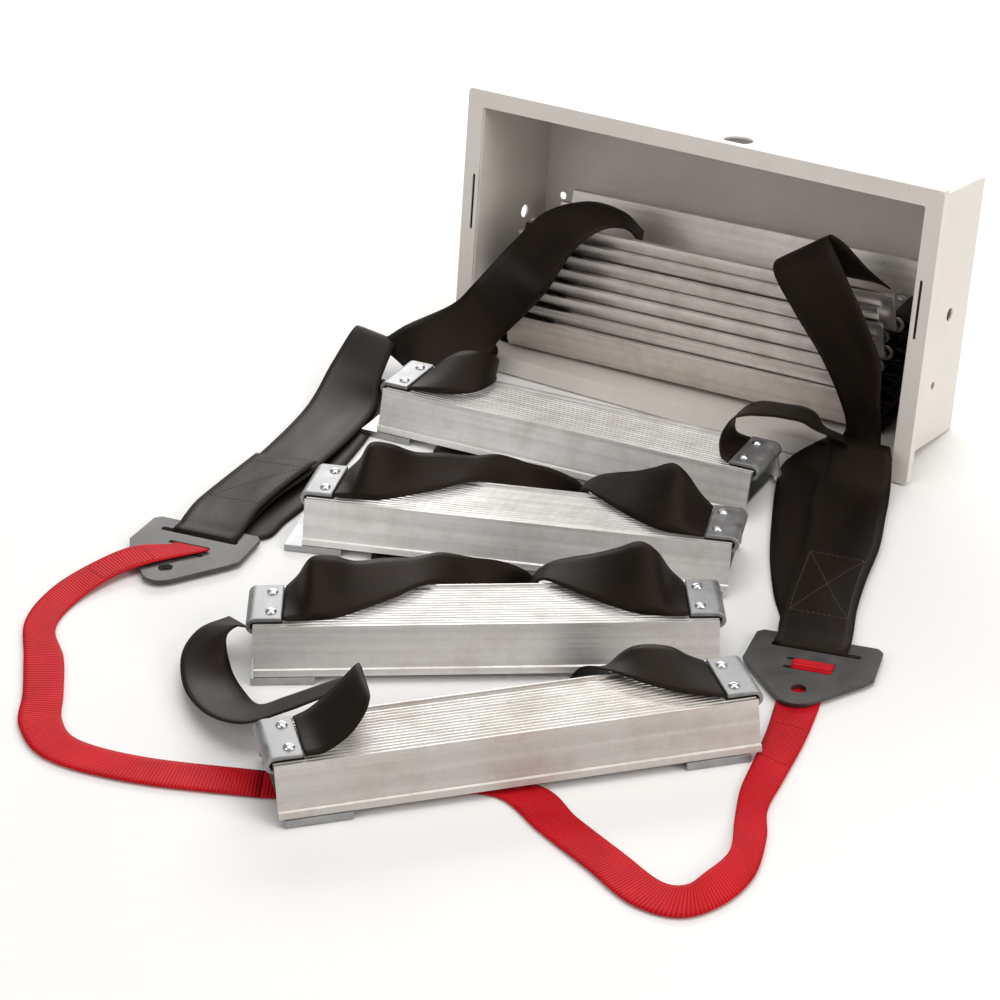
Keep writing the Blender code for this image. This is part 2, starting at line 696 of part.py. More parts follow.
# ---------------------------------------------------------------- anchor plates
def plate_outline():
    """Rim in (x, y): the wide edge lies on y = 0 and the nose points to -y."""
    half = PLATE_HALF
    inner = half - PLATE_CORNER
    swell, shoulder_top, shoulder_end = PLATE_SHOULDER
    right = [(inner, shoulder_end), (half + swell, shoulder_top), (half, -PLATE_CORNER), (inner, 0.0)]
    left = [(-x, y) for x, y in reversed(right)]
    return left + arc(*PLATE_NOSE, 215, 325, 6) + right


def build_plate(name, x, y, yaw, material):
    holes = [circle((0.0, -PLATE_HOLE_PLACE), PLATE_HOLE, 16)]
    for middle, length, width, radius in PLATE_SLOTS:
        holes.append(rounded_rectangle((0.0, middle), length, width, radius))
    mesh = outline_mesh(name, [plate_outline()] + holes, PLATE_SHEET)
    pivot = add_pivot(name + "_pivot", place(x, y, PLATE_RAISE, yaw))
    lift = Matrix.Translation(Vector((0.0, 0.0, PLATE_SHEET / 2)))
    hang_on(pivot, add_object(name, mesh, material, pivot.matrix_world @ lift))


# ---------------------------------------------------------------- webbing
def smooth(points, samples):
    """Catmull-Rom curve through the points."""
    padded = [points[0] * 2 - points[1]] + points + [points[-1] * 2 - points[-2]]
    result = []
    for index in range(1, len(padded) - 2):
        before, start, end, after = padded[index - 1:index + 3]
        for step in range(samples):
            t = step / samples
            result.append(
                0.5 * ((2 * start) + (end - before) * t
                       + (2 * before - 5 * start + 4 * end - after) * t * t
                       + (3 * start - before - 3 * end + after) * t * t * t)
            )
    result.append(points[-1])
    return result


def ribbon(name, stations, thickness, material):
    """Strap between two smooth edges, given as pairs of points in metres."""
    edges = [smooth([Vector(pair[side]) for pair in stations], SAMPLES) for side in (0, 1)]
    vertices = []
    for first, second in zip(*edges):
        vertices += [first, second]
    faces = []
    for index in range(len(edges[0]) - 1):
        corner = 2 * index
        faces.append((corner, corner + 1, corner + 3, corner + 2))
    mesh = bpy.data.meshes.new(name)
    mesh.from_pydata(vertices, [], faces)
    strap = add_object(name, mesh, material, Matrix.Identity(4))
    solidify = strap.modifiers.new("thickness", "SOLIDIFY")
    solidify.thickness = thickness
    solidify.offset = 0.0
    return strap


def stations_in(matrix, stations, mirror=1):
    """Station pairs in metres, from millimetres in the given frame."""
    placed = []
    for pair in stations:
        points = []
        for x, y, z in pair:
            points.append(matrix @ Vector((mirror * x * 0.001, y * 0.001, z * 0.001)))
        placed.append(tuple(points))
    return placed


def build_ladder_webbing(material):
    ground = place(0.0, 0.0)
    first = rung_frame("rung_1")
    fourth = rung_frame("rung_4")
    ribbon("webbing_1_2_left", stations_in(first, LOOP_1_TO_2), WEBBING, material)
    flap = stations_in(first, FLAP_1_TO_2) + stations_in(rung_frame("rung_2"), UNDER_SECOND)
    ribbon("webbing_1_2_right", flap, WEBBING, material)
    for lower, upper in (("rung_2", "rung_3"), ("rung_3", "rung_4")):
        near = rung_frame(lower)
        far = rung_frame(upper)
        for label, mirror, band in (("left", 1, LEFT_BAND), ("right", -1, RIGHT_BAND)):
            stations = stations_in(near, band, mirror)
            stations += stations_in(far, UNDER_NEXT, mirror)
            ribbon(f"webbing_{lower[-1]}_{upper[-1]}_{label}", stations, WEBBING, material)
    left = stations_in(fourth, LEFT_4_TO_STACK) + stations_in(ground, INTO_BOX_LEFT)
    right = stations_in(fourth, RIGHT_4_TO_STACK) + stations_in(ground, INTO_BOX_RIGHT)
    ribbon("webbing_4_stack_left", left, WEBBING, material)
    ribbon("webbing_4_stack_right", right, WEBBING, material)


def build_straps(materials):
    ground = place(0.0, 0.0)
    ribbon("top_strap_left", stations_in(ground, TOP_STRAP_LEFT), WEBBING, materials["black"])
    ribbon("top_strap_right", stations_in(ground, TOP_STRAP_RIGHT), WEBBING, materials["black"])
    ribbon("bridle_strap", stations_in(ground, BRIDLE), RED_WEBBING, materials["red"])


def main():
    clear_scene()
    make_collection(COLLECTION)
    make_collection(CUTTERS)
    materials = make_materials()
    build_box_shell(materials["box"])
    build_face_flange(materials["box"])
    build_floor_rungs(materials)
    build_stack(materials["rung"])
    for name, x, y, yaw in PLATES:
        build_plate(name, x, y, yaw, materials["plate"])
    build_ladder_webbing(materials["black"])
    build_straps(materials)


main()
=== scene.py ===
"""Looks of the half-unpacked escape ladder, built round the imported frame. Metres, +Z up."""

import math
import random

import bpy
from mathutils import Matrix, Vector


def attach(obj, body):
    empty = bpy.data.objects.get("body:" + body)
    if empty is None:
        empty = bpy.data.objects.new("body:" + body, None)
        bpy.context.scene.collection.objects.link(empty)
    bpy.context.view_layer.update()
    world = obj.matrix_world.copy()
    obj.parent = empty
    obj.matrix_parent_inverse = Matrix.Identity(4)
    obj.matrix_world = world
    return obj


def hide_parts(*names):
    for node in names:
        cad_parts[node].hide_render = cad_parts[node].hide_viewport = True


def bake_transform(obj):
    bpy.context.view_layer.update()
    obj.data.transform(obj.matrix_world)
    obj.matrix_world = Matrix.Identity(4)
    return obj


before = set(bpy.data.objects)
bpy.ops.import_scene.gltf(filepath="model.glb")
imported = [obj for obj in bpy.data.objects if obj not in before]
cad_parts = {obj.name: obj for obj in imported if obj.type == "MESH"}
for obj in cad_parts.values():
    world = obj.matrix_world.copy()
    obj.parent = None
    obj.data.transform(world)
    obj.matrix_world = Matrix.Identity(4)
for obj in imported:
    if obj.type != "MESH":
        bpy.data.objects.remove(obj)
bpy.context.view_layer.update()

# ---------------------------------------------------------------- places shared with the CAD
SHIFT = Vector((-0.0345, 0.2342, 0.0))      # from the box's front bottom edge to the origin
RUNG_LENGTH = 0.290
RUNG_HEIGHT = 0.029
RUNG_LIFT = 0.005
# Tints of the aluminium per copy are painted light and shade: rungs 2 to 4 brighter as a painted reflection
# highlight, the first rung darker and browner as painted shade, the nested rungs warmer as painted shade
# inside the box.
RUNG_LIT_TINT = (1.06, 1.045, 1.03)
FIRST_RUNG_SHADE_TINT = (0.86, 0.825, 0.79)
STACK_SHADE_TINT = (1.0, 0.955, 0.92)
RUNG_WALL = 0.0025
FLOOR_RUNGS = {
    "rung_1": (0.1458, -0.4427, 47.2),
    "rung_2": (0.066, -0.3478, 34.5),
    "rung_3": (0.0145, -0.2243, 20.3),
    "rung_4": (-0.0251, -0.0906, 5.8),
}
STACK_PITCH = 0.01186
STACK_BASE = 0.013
STACK_FRONT_MIDDLE = 0.0595
STACK_YAW = 3.3
STACK_OFFSETS = (-0.015, -0.012, -0.008, -0.005, -0.002, 0.004, 0.000, 0.011)
STACK_OUTER_FACE = 0.0299                   # from a nested rung's frame down to its outer face
BOX_LEAN = math.atan2(0.0115, 0.0935)
FLANGE_RETURN = 0.008
SLOT_MIDDLE = (0.1845, 0.1285)              # x and height of the flange's slots
TAB_HALF = (0.0032, 0.024)
TAB_DEPTHS = (0.0018, 0.003)
PLATE_LEFT = (-0.178, -0.321, 10.3)
PLATE_RIGHT = (0.241, -0.226, 14.0)
PLATE_RAISE = 0.002
BRIDLE_HALVES_MEET = 11                     # station at which the bridle's halves meet

CLIP_HALF = 0.021
CLIP_SHEET = 0.0028
CLIP_REACH = 0.018
CLIP_EASE = 0.0005
WEBBING_ROOM = 0.0018
RIVET_INBOARD = 0.011
RIVET_SPREAD = 0.012
RIVET_HEAD = 0.0036
RIVET_DOME = 0.0019

WEBBING = 0.0013
WEBBING_WIDTH = 0.042
TOP_STRAP_WIDTH = 0.048
RED_WEBBING = 0.0012
RED_WIDTH = 0.026
SAMPLES = 10                                # cross sections from one station to the next
STITCH_PITCH = 0.0034
STITCH_LENGTH = 0.0026
STITCH_RADIUS = 0.0003

# ---------------------------------------------------------------- strap routes
# Stations are pairs of edge points. Webbing on a rung is given in that rung's own frame:
# x along it, y to its rear, z up from the floor. The bands and UNDER_NEXT are given for
# the left side; RIGHT_BAND and UNDER_NEXT are mirrored for the right.
LEFT_BAND = (
    ((-0.126, -0.021, 0.037), (-0.126, 0.021, 0.037)),
    ((-0.117, -0.0215, 0.037), (-0.118, 0.02, 0.046)),
    ((-0.108, -0.0215, 0.037), (-0.109, 0.016, 0.061)),
    ((-0.094, -0.019, 0.037), (-0.096, 0.021, 0.059)),
    ((-0.076, -0.008, 0.037), (-0.082, 0.03, 0.05)),
    ((-0.058, 0.004, 0.0375), (-0.064, 0.04, 0.046)),
    ((-0.042, 0.017, 0.038), (-0.046, 0.046, 0.043)),
    ((-0.026, 0.029, 0.033), (-0.028, 0.052, 0.043)),
    ((-0.008, 0.037, 0.02), (-0.008, 0.054, 0.038)),
    ((0.008, 0.044, 0.01), (0.01, 0.056, 0.034)),
    ((0.022, 0.05, 0.004), (0.026, 0.058, 0.026)),
    ((0.032, 0.055, 0.003), (0.036, 0.06, 0.014)),
    ((0.03, 0.062, 0.0024), (0.03, 0.072, 0.004)),
    ((0.012, 0.064, 0.002), (0.012, 0.098, 0.002)),
    ((-0.014, 0.062, 0.002), (-0.01, 0.099, 0.002)),
)
RIGHT_BAND = (
    ((-0.126, -0.021, 0.037), (-0.126, 0.021, 0.037)),
    ((-0.117, -0.0215, 0.037), (-0.117, 0.02, 0.047)),
    ((-0.107, -0.021, 0.037), (-0.108, 0.017, 0.062)),
    ((-0.094, -0.018, 0.037), (-0.098, 0.022, 0.066)),
    ((-0.078, -0.008, 0.037), (-0.084, 0.03, 0.057)),
    ((-0.062, 0.004, 0.0375), (-0.07, 0.039, 0.048)),
    ((-0.048, 0.016, 0.038), (-0.055, 0.045, 0.042)),
    ((-0.037, 0.027, 0.036), (-0.043, 0.048, 0.037)),
    ((-0.03, 0.034, 0.026), (-0.034, 0.049, 0.03)),
    ((-0.027, 0.038, 0.014), (-0.029, 0.048, 0.021)),
    ((-0.029, 0.04, 0.006), (-0.029, 0.049, 0.012)),
    ((-0.037, 0.041, 0.003), (-0.034, 0.052, 0.006)),
    ((-0.052, 0.043, 0.0025), (-0.047, 0.062, 0.003)),
)
UNDER_NEXT = (
    ((-0.082, -0.062, 0.002), (-0.05, -0.05, 0.003)),
    ((-0.095, -0.04, 0.002), (-0.055, -0.04, 0.002)),
    ((-0.097, -0.028, 0.002), (-0.06, -0.026, 0.002)),
    ((-0.098, -0.02, 0.005), (-0.078, -0.004, 0.003)),
    ((-0.108, -0.014, 0.017), (-0.108, 0.012, 0.017)),
)
LOOP_1_TO_2 = (
    ((-0.126, -0.021, 0.037), (-0.126, 0.021, 0.037)),
    ((-0.114, -0.021, 0.038), (-0.115, 0.021, 0.042)),
    ((-0.098, -0.018, 0.047), (-0.1, 0.022, 0.054)),
    ((-0.086, -0.008, 0.058), (-0.085, 0.03, 0.062)),
    ((-0.086, 0.008, 0.058), (-0.083, 0.042, 0.048)),
    ((-0.104, 0.024, 0.046), (-0.098, 0.052, 0.038)),
    ((-0.128, 0.032, 0.034), (-0.122, 0.064, 0.024)),
    ((-0.152, 0.044, 0.022), (-0.136, 0.084, 0.008)),
    ((-0.17, 0.072, 0.014), (-0.142, 0.106, 0.005)),
    ((-0.178, 0.112, 0.009), (-0.146, 0.128, 0.008)),
    ((-0.174, 0.15, 0.01), (-0.146, 0.146, 0.02)),
    ((-0.16, 0.168, 0.016), (-0.138, 0.152, 0.024)),
    ((-0.14, 0.172, 0.02), (-0.131, 0.148, 0.024)),
)
FLAP_1_TO_2 = (
    ((0.126, 0.021, 0.037), (0.126, -0.021, 0.037)),
    ((0.116, 0.022, 0.042), (0.116, -0.018, 0.038)),
    ((0.104, 0.026, 0.048), (0.1, -0.01, 0.038)),
    ((0.086, 0.034, 0.046), (0.082, 0.004, 0.039)),
    ((0.076, 0.046, 0.03), (0.066, 0.022, 0.039)),
    ((0.076, 0.054, 0.016), (0.054, 0.037, 0.034)),
    ((0.078, 0.062, 0.006), (0.046, 0.047, 0.016)),
    ((0.086, 0.068, 0.002), (0.05, 0.062, 0.003)),
)
UNDER_SECOND = (
    ((0.095, -0.044, 0.002), (0.056, -0.044, 0.002)),
    ((0.096, -0.03, 0.002), (0.06, -0.028, 0.002)),
    ((0.098, -0.02, 0.005), (0.078, -0.006, 0.003)),
    ((0.108, -0.014, 0.017), (0.108, 0.012, 0.017)),
)
LEFT_4_TO_STACK = (
    ((-0.126, -0.021, 0.037), (-0.126, 0.021, 0.037)),
    ((-0.114, -0.021, 0.038), (-0.116, 0.02, 0.047)),
    ((-0.1, -0.02, 0.039), (-0.104, 0.022, 0.054)),
    ((-0.086, -0.016, 0.04), (-0.092, 0.026, 0.055)),
    ((-0.076, -0.006, 0.04), (-0.084, 0.034, 0.05)),
    ((-0.074, 0.01, 0.0385), (-0.086, 0.046, 0.04)),
    ((-0.08, 0.03, 0.034), (-0.096, 0.054, 0.028)),
    ((-0.092, 0.046, 0.016), (-0.116, 0.058, 0.014)),
    ((-0.108, 0.058, 0.005), (-0.142, 0.06, 0.005)),
)
INTO_BOX_LEFT = (
    ((-0.15, -0.017, 0.003), (-0.186, -0.017, 0.003)),
    ((-0.152, -0.006, 0.01), (-0.178, -0.006, 0.01)),
    ((-0.153, 0.003, 0.0165), (-0.177, 0.003, 0.0165)),
    ((-0.163, 0.014, 0.0165), (-0.177, 0.014, 0.0165)),
)
RIGHT_4_TO_STACK = (
    ((0.126, 0.021, 0.037), (0.126, -0.021, 0.037)),
    ((0.119, 0.0215, 0.0375), (0.121, -0.0205, 0.039)),
    ((0.114, 0.024, 0.0375), (0.1175, -0.016, 0.0425)),
    ((0.1105, 0.029, 0.0375), (0.115, -0.01, 0.0465)),
    ((0.1075, 0.036, 0.037), (0.1145, -0.0025, 0.051)),
    ((0.1055, 0.044, 0.0395), (0.117, 0.007, 0.0555)),
    ((0.109, 0.054, 0.0435), (0.1235, 0.0165, 0.0555)),
    ((0.115, 0.063, 0.0445), (0.131, 0.0255, 0.053)),
    ((0.1215, 0.071, 0.042), (0.137, 0.034, 0.05)),
    ((0.129, 0.08, 0.038), (0.1435, 0.0445, 0.045)),
)
INTO_BOX_RIGHT = (
    ((0.104, 0.012, 0.034), (0.119, -0.02, 0.039)),
    ((0.114, 0.013, 0.031), (0.127, -0.015, 0.033)),
    ((0.126, 0.003, 0.028), (0.138, -0.011, 0.029)),
    ((0.141, 0, 0.027), (0.15, -0.009, 0.026)),
)
BRIDLE = (
    ((-0.183, -0.352, 0.0062), (-0.155, -0.347, 0.0062)),
    ((-0.192, -0.362, 0.0062), (-0.164, -0.364, 0.0062)),
    ((-0.202, -0.374, 0.0064), (-0.178, -0.386, 0.0064)),
    ((-0.214, -0.402, 0.003), (-0.188, -0.412, 0.005)),
    ((-0.216, -0.44, 0.0016), (-0.19, -0.448, 0.0016)),
    ((-0.203, -0.48, 0.0016), (-0.179, -0.478, 0.0016)),
    ((-0.173, -0.515, 0.0016), (-0.151, -0.502, 0.0016)),
    ((-0.145, -0.547, 0.0016), (-0.124, -0.533, 0.0016)),
    ((-0.122, -0.576, 0.0016), (-0.104, -0.557, 0.0016)),
    ((-0.084, -0.594, 0.0016), (-0.08, -0.568, 0.0016)),
    ((-0.026, -0.585, 0.0016), (-0.034, -0.56, 0.0016)),
    ((0.046, -0.556, 0.0012), (0.032, -0.533, 0.0012)),
    ((0.084, -0.536, 0.0012), (0.071, -0.514, 0.0012)),
    ((0.126, -0.502, 0.0012), (0.112, -0.48, 0.0012)),
    ((0.16, -0.481, 0.0012), (0.174, -0.458, 0.0012)),
    ((0.2, -0.497, 0.0014), (0.212, -0.474, 0.0014)),
    ((0.24, -0.512, 0.0016), (0.251, -0.489, 0.0016)),
    ((0.278, -0.527, 0.0016), (0.282, -0.502, 0.003)),
    ((0.307, -0.523, 0.0016), (0.297, -0.5, 0.005)),
    ((0.321, -0.5, 0.0016), (0.301, -0.486, 0.006)),
    ((0.323, -0.468, 0.0016), (0.302, -0.459, 0.005)),
    ((0.312, -0.433, 0.0016), (0.288, -0.427, 0.002)),
    ((0.299, -0.407, 0.0016), (0.276, -0.398, 0.0016)),
    ((0.293, -0.377, 0.0016), (0.269, -0.371, 0.0016)),
    ((0.285, -0.335, 0.0016), (0.26, -0.336, 0.0016)),
    ((0.276, -0.3, 0.001), (0.25, -0.306, 0.001)),
    ((0.266, -0.266, 0.001), (0.239, -0.273, 0.001)),
)
# The passes through a plate's wide slot are in the plate's own frame: x is set by the
# strap, y is along the plate towards the box, z is up from the plate's underside.
SLOT_PASS = (
    (-0.01, -0.001),
    (-0.013, -0.0006),
    (-0.0146, 0.0014),
    (-0.0134, 0.0034),
    (-0.0104, 0.004),
    (-0.004, 0.004),
)
UNDER_EDGE = (
    (-0.0105, -0.001),
    (-0.004, -0.001),
)
RED_UP_AND_DOWN = (
    (-0.0415, -0.0008),
    (-0.0391, 0.0007),
    (-0.0387, 0.0029),
    (-0.0368, 0.0041),
    (-0.034, 0.0044),
    (-0.0312, 0.0041),
    (-0.0293, 0.0029),
    (-0.0289, 0.0007),
    (-0.0265, -0.0008),
    (-0.021, -0.001),
)
RED_UP = (
    (-0.021, -0.001),
    (-0.0268, -0.0008),
    (-0.0289, 0.0007),
    (-0.0293, 0.0028),
    (-0.0315, 0.0041),
    (-0.0345, 0.0043),
)
LEFT_FLAP = (
    ((-0.2015, -0.318, 0.006), (-0.1545, -0.3095, 0.0068)),
    ((-0.2085, -0.296, 0.0052), (-0.161, -0.288, 0.0074)),
    ((-0.2125, -0.262, 0.0056), (-0.165, -0.254, 0.0086)),
    ((-0.2165, -0.219, 0.0062), (-0.168, -0.21, 0.0092)),
)
LEFT_MAIN = (
    ((-0.207, -0.301, 0.0024), (-0.16, -0.291, 0.004)),
    ((-0.2115, -0.266, 0.003), (-0.163, -0.261, 0.006)),
    ((-0.215, -0.225, 0.0036), (-0.165, -0.22, 0.006)),
    ((-0.232, -0.14, 0.0046), (-0.183, -0.122, 0.005)),
    ((-0.25, -0.081, 0.014), (-0.199, -0.09, 0.014)),
    ((-0.255, -0.042, 0.029), (-0.212, -0.048, 0.029)),
    ((-0.247, -0.043, 0.023), (-0.206, -0.055, 0.021)),
)
LEFT_TO_STACK = (
    ((-0.226, -0.046, 0.028), (-0.19, -0.064, 0.016)),
    ((-0.207, -0.04, 0.042), (-0.177, -0.066, 0.017)),
    ((-0.182, -0.017, 0.056), (-0.147, -0.038, 0.018)),
    ((-0.171, -0.005, 0.07), (-0.14, -0.016, 0.036)),
    ((-0.156, -0.006, 0.088), (-0.118, -0.012, 0.062)),
    ((-0.132, -0.008, 0.116), (-0.092, -0.024, 0.092)),
    ((-0.118, 0.014, 0.135), (-0.078, -0.01, 0.122)),
    ((-0.092, 0.032, 0.143), (-0.066, 0.008, 0.134)),
    ((-0.066, 0.04, 0.138), (-0.054, 0.024, 0.132)),
    ((-0.054, 0.05, 0.122), (-0.048, 0.036, 0.117)),
)
LEFT_LOWER = (
    ((-0.186, -0.312, 0.0012), (-0.138, -0.306, 0.0012)),
    ((-0.189, -0.29, 0.001), (-0.1415, -0.284, 0.001)),
    ((-0.192, -0.26, 0.001), (-0.144, -0.256, 0.001)),
    ((-0.2, -0.215, 0.001), (-0.1525, -0.211, 0.001)),
    ((-0.212, -0.16, 0.001), (-0.166, -0.156, 0.0014)),
    ((-0.224, -0.11, 0.0016), (-0.18, -0.11, 0.004)),
    ((-0.226, -0.074, 0.009), (-0.188, -0.076, 0.01)),
)
RIGHT_UPPER = (
    ((0.208, -0.22, 0.0046), (0.255, -0.208, 0.0046)),
    ((0.196, -0.188, 0.0042), (0.243, -0.178, 0.0042)),
    ((0.184, -0.15, 0.0046), (0.2315, -0.141, 0.0046)),
    ((0.17, -0.108, 0.0046), (0.22, -0.098, 0.0046)),
    ((0.153, -0.066, 0.0052), (0.206, -0.06, 0.0052)),
    ((0.143, -0.038, 0.007), (0.196, -0.033, 0.008)),
    ((0.137, -0.016, 0.013), (0.189, -0.017, 0.019)),
    ((0.131, -0.004, 0.0205), (0.183, -0.006, 0.0265)),
    ((0.127, 0.005, 0.022), (0.176, 0.006, 0.024)),
)
RIGHT_LOWER = (
    ((0.206, -0.214, 0.001), (0.251, -0.203, 0.001)),
    ((0.186, -0.186, 0.001), (0.233, -0.176, 0.001)),
    ((0.161, -0.144, 0.001), (0.209, -0.134, 0.001)),
    ((0.138, -0.098, 0.0012), (0.186, -0.09, 0.0012)),
    ((0.117, -0.052, 0.0014), (0.165, -0.046, 0.0014)),
    ((0.107, -0.024, 0.0025), (0.157, -0.02, 0.003)),
    ((0.112, -0.011, 0.009), (0.153, -0.009, 0.01)),
    ((0.122, -0.0035, 0.0165), (0.152, -0.003, 0.017)),
    ((0.126, 0.005, 0.018), (0.156, 0.006, 0.018)),
)
RIGHT_TO_STACK = (
    ((0.138, 0.007, 0.02), (0.168, 0.008, 0.018)),
    ((0.141, 0.006, 0.034), (0.166, 0.012, 0.03)),
    ((0.133, 0.005, 0.056), (0.165, 0.009, 0.054)),
    ((0.118, 0.006, 0.08), (0.163, 0.009, 0.084)),
    ((0.097, 0.005, 0.108), (0.15, 0.008, 0.114)),
    ((0.076, 0.01, 0.132), (0.126, 0.014, 0.148)),
    ((0.074, 0.02, 0.14), (0.108, 0.028, 0.162)),
    ((0.086, 0.03, 0.134), (0.117, 0.034, 0.157)),
    ((0.112, 0.042, 0.128), (0.134, 0.04, 0.139)),
    ((0.138, 0.054, 0.124), (0.15, 0.046, 0.125)),
)
# How far each nested rung's folded webbing stands out past its ends.
RIGHT_ROLLS = (0.021, 0.017, 0.02, 0.015, 0.018, 0.014, 0.012, 0.009)
LEFT_ROLLS = (0.01, 0.012, 0.009, 0.013, 0.011, 0.013, 0.012, 0.01)
# Length of each dark wedge at the left end of the nested rungs' front webs: painted reflection and shadow of
# the black strap, made as thin webbing.
REFLECTION_WEDGES = (0.04, 0.052, 0.044, 0.05, 0.04, 0.046, 0.036)


# ---------------------------------------------------------------- frames
def place(x, y, z=0.0, yaw=0.0):
    """Frame at a point given from the box's front bottom edge, turned about +Z."""
    return Matrix.Translation(SHIFT + Vector((x, y, z))) @ Matrix.Rotation(math.radians(yaw), 4, "Z")


def rung_frame(name, lift=0.0):
    x, y, yaw = FLOOR_RUNGS[name]
    return place(x, y, lift, yaw)


def stack_frame(index):
    """Frame of a nested rung: its tread faces down."""
    level = STACK_BASE + STACK_OUTER_FACE + index * STACK_PITCH
    upside_down = Matrix.Rotation(math.pi, 4, "X")
    return place(STACK_OFFSETS[index], STACK_FRONT_MIDDLE, level, STACK_YAW) @ upside_down


def plate_frame(plate):
    x, y, yaw = plate
    return place(x, y, PLATE_RAISE, yaw)


def stations_in(matrix, stations, mirror=1):
    placed = []
    for pair in stations:
        placed.append(tuple(matrix @ Vector((mirror * x, y, z)) for x, y, z in pair))
    return placed


# ---------------------------------------------------------------- node helpers
class Nodes:
    """Short names for building a material's node tree."""

    def __init__(self, name):
        self.material = bpy.data.materials.new(name)
        self.material.use_nodes = True
        self.tree = self.material.node_tree
        self.shader = self.tree.nodes["Principled BSDF"]

    def add(self, kind, **settings):
        node = self.tree.nodes.new(kind)
        for key, value in settings.items():
            setattr(node, key, value)
        return node

    def link(self, source, target):
        self.tree.links.new(source, target)

    def set(self, **values):
        for key, value in values.items():
            self.shader.inputs[key.replace("_", " ")].default_value = value

    def coordinates(self, uv, scale, yaw=0.0):
        """Object or UV coordinates, turned by -yaw so that +X runs along the piece, then scaled."""
        source = self.add("ShaderNodeTexCoord")
        turn = self.add("ShaderNodeMapping")
        turn.inputs["Rotation"].default_value = (0.0, 0.0, -math.radians(yaw))
        self.link(source.outputs["UV" if uv else "Object"], turn.inputs["Vector"])
        size = self.add("ShaderNodeMapping")
        size.inputs["Scale"].default_value = scale
        self.link(turn.outputs["Vector"], size.inputs["Vector"])
        return size.outputs["Vector"]

    def noise(self, vector, scale, detail=4.0, roughness=0.6):
        node = self.add("ShaderNodeTexNoise")
        node.inputs["Scale"].default_value = scale
        node.inputs["Detail"].default_value = detail
        node.inputs["Roughness"].default_value = roughness
        self.link(vector, node.inputs["Vector"])
        return node.outputs["Fac"]

    def wave(self, vector, direction, scale, distortion=0.0, detail=0.0, detail_scale=1.0):
        node = self.add("ShaderNodeTexWave", wave_type="BANDS", bands_direction=direction)
        node.inputs["Scale"].default_value = scale
        node.inputs["Distortion"].default_value = distortion
        node.inputs["Detail"].default_value = detail
        node.inputs["Detail Scale"].default_value = detail_scale
        self.link(vector, node.inputs["Vector"])
        return node.outputs["Fac"]

    def ramp(self, fac, *stops):
        node = self.add("ShaderNodeValToRGB")
        elements = node.color_ramp.elements
        while len(elements) < len(stops):
            elements.new(0.5)
        for element, (position, color) in zip(elements, stops):
            element.position = position
            element.color = color if len(color) == 4 else (*color, 1.0)
        self.link(fac, node.inputs["Fac"])
        return node.outputs["Color"]

    def span(self, fac, low, high, from_low=0.0, from_high=1.0):
        node = self.add("ShaderNodeMapRange")
        node.inputs["From Min"].default_value = from_low
        node.inputs["From Max"].default_value = from_high
        node.inputs["To Min"].default_value = low
        node.inputs["To Max"].default_value = high
        self.link(fac, node.inputs["Value"])
        return node.outputs["Result"]

    def mix(self, fac, first, second, blend="MIX"):
        node = self.add("ShaderNodeMix", data_type="RGBA", blend_type=blend)
        for socket, value in ((node.inputs[0], fac), (node.inputs[6], first), (node.inputs[7], second)):
            if isinstance(value, (int, float)):
                socket.default_value = value
            elif isinstance(value, tuple):
                socket.default_value = value if len(value) == 4 else (*value, 1.0)
            else:
                self.link(value, socket)
        return node.outputs[2]

    def math(self, operation, first, second):
        node = self.add("ShaderNodeMath", operation=operation)
        for socket, value in ((node.inputs[0], first), (node.inputs[1], second)):
            if isinstance(value, (int, float)):
                socket.default_value = value
            else:
                self.link(value, socket)
        return node.outputs[0]

    def bump(self, height, distance, strength=1.0, under=None):
        node = self.add("ShaderNodeBump")
        node.inputs["Distance"].default_value = distance
        node.inputs["Strength"].default_value = strength
        self.link(height, node.inputs["Height"])
        if under is not None:
            self.link(under, node.inputs["Normal"])
        return node.outputs["Normal"]

    def finish(self, color=None, roughness=None, normal=None):
        if color is not None:
            self.link(color, self.shader.inputs["Base Color"])
        if roughness is not None:
            self.link(roughness, self.shader.inputs["Roughness"])
        if normal is not None:
            self.link(normal, self.shader.inputs["Normal"])
        return self.material


# ---------------------------------------------------------------- materials
def powder_coat():
    """Off-white powder coat: fine orange peel, faint grey handling smudges."""
    make = Nodes("powder_coat")
    even = make.coordinates(False, (1, 1, 1))
    peel = make.noise(even, 1400, 2.0)
    smudge = make.noise(even, 17, 5.0, 0.65)
    speck = make.noise(even, 260, 2.0)
    color = make.ramp(smudge, (0.30, (0.735, 0.690, 0.640)), (0.62, (0.785, 0.745, 0.700)))
    specks = make.ramp(speck, (0.22, (0.55, 0.52, 0.47)), (0.27, (1.0, 1.0, 1.0)))
    color = make.mix(0.25, color, specks, "MULTIPLY")
    make.set(Specular_IOR_Level=0.45)
    rough = make.span(smudge, 0.36, 0.50, 0.3, 0.7)
    return make.finish(color, rough, make.bump(peel, 0.00012, 0.35))


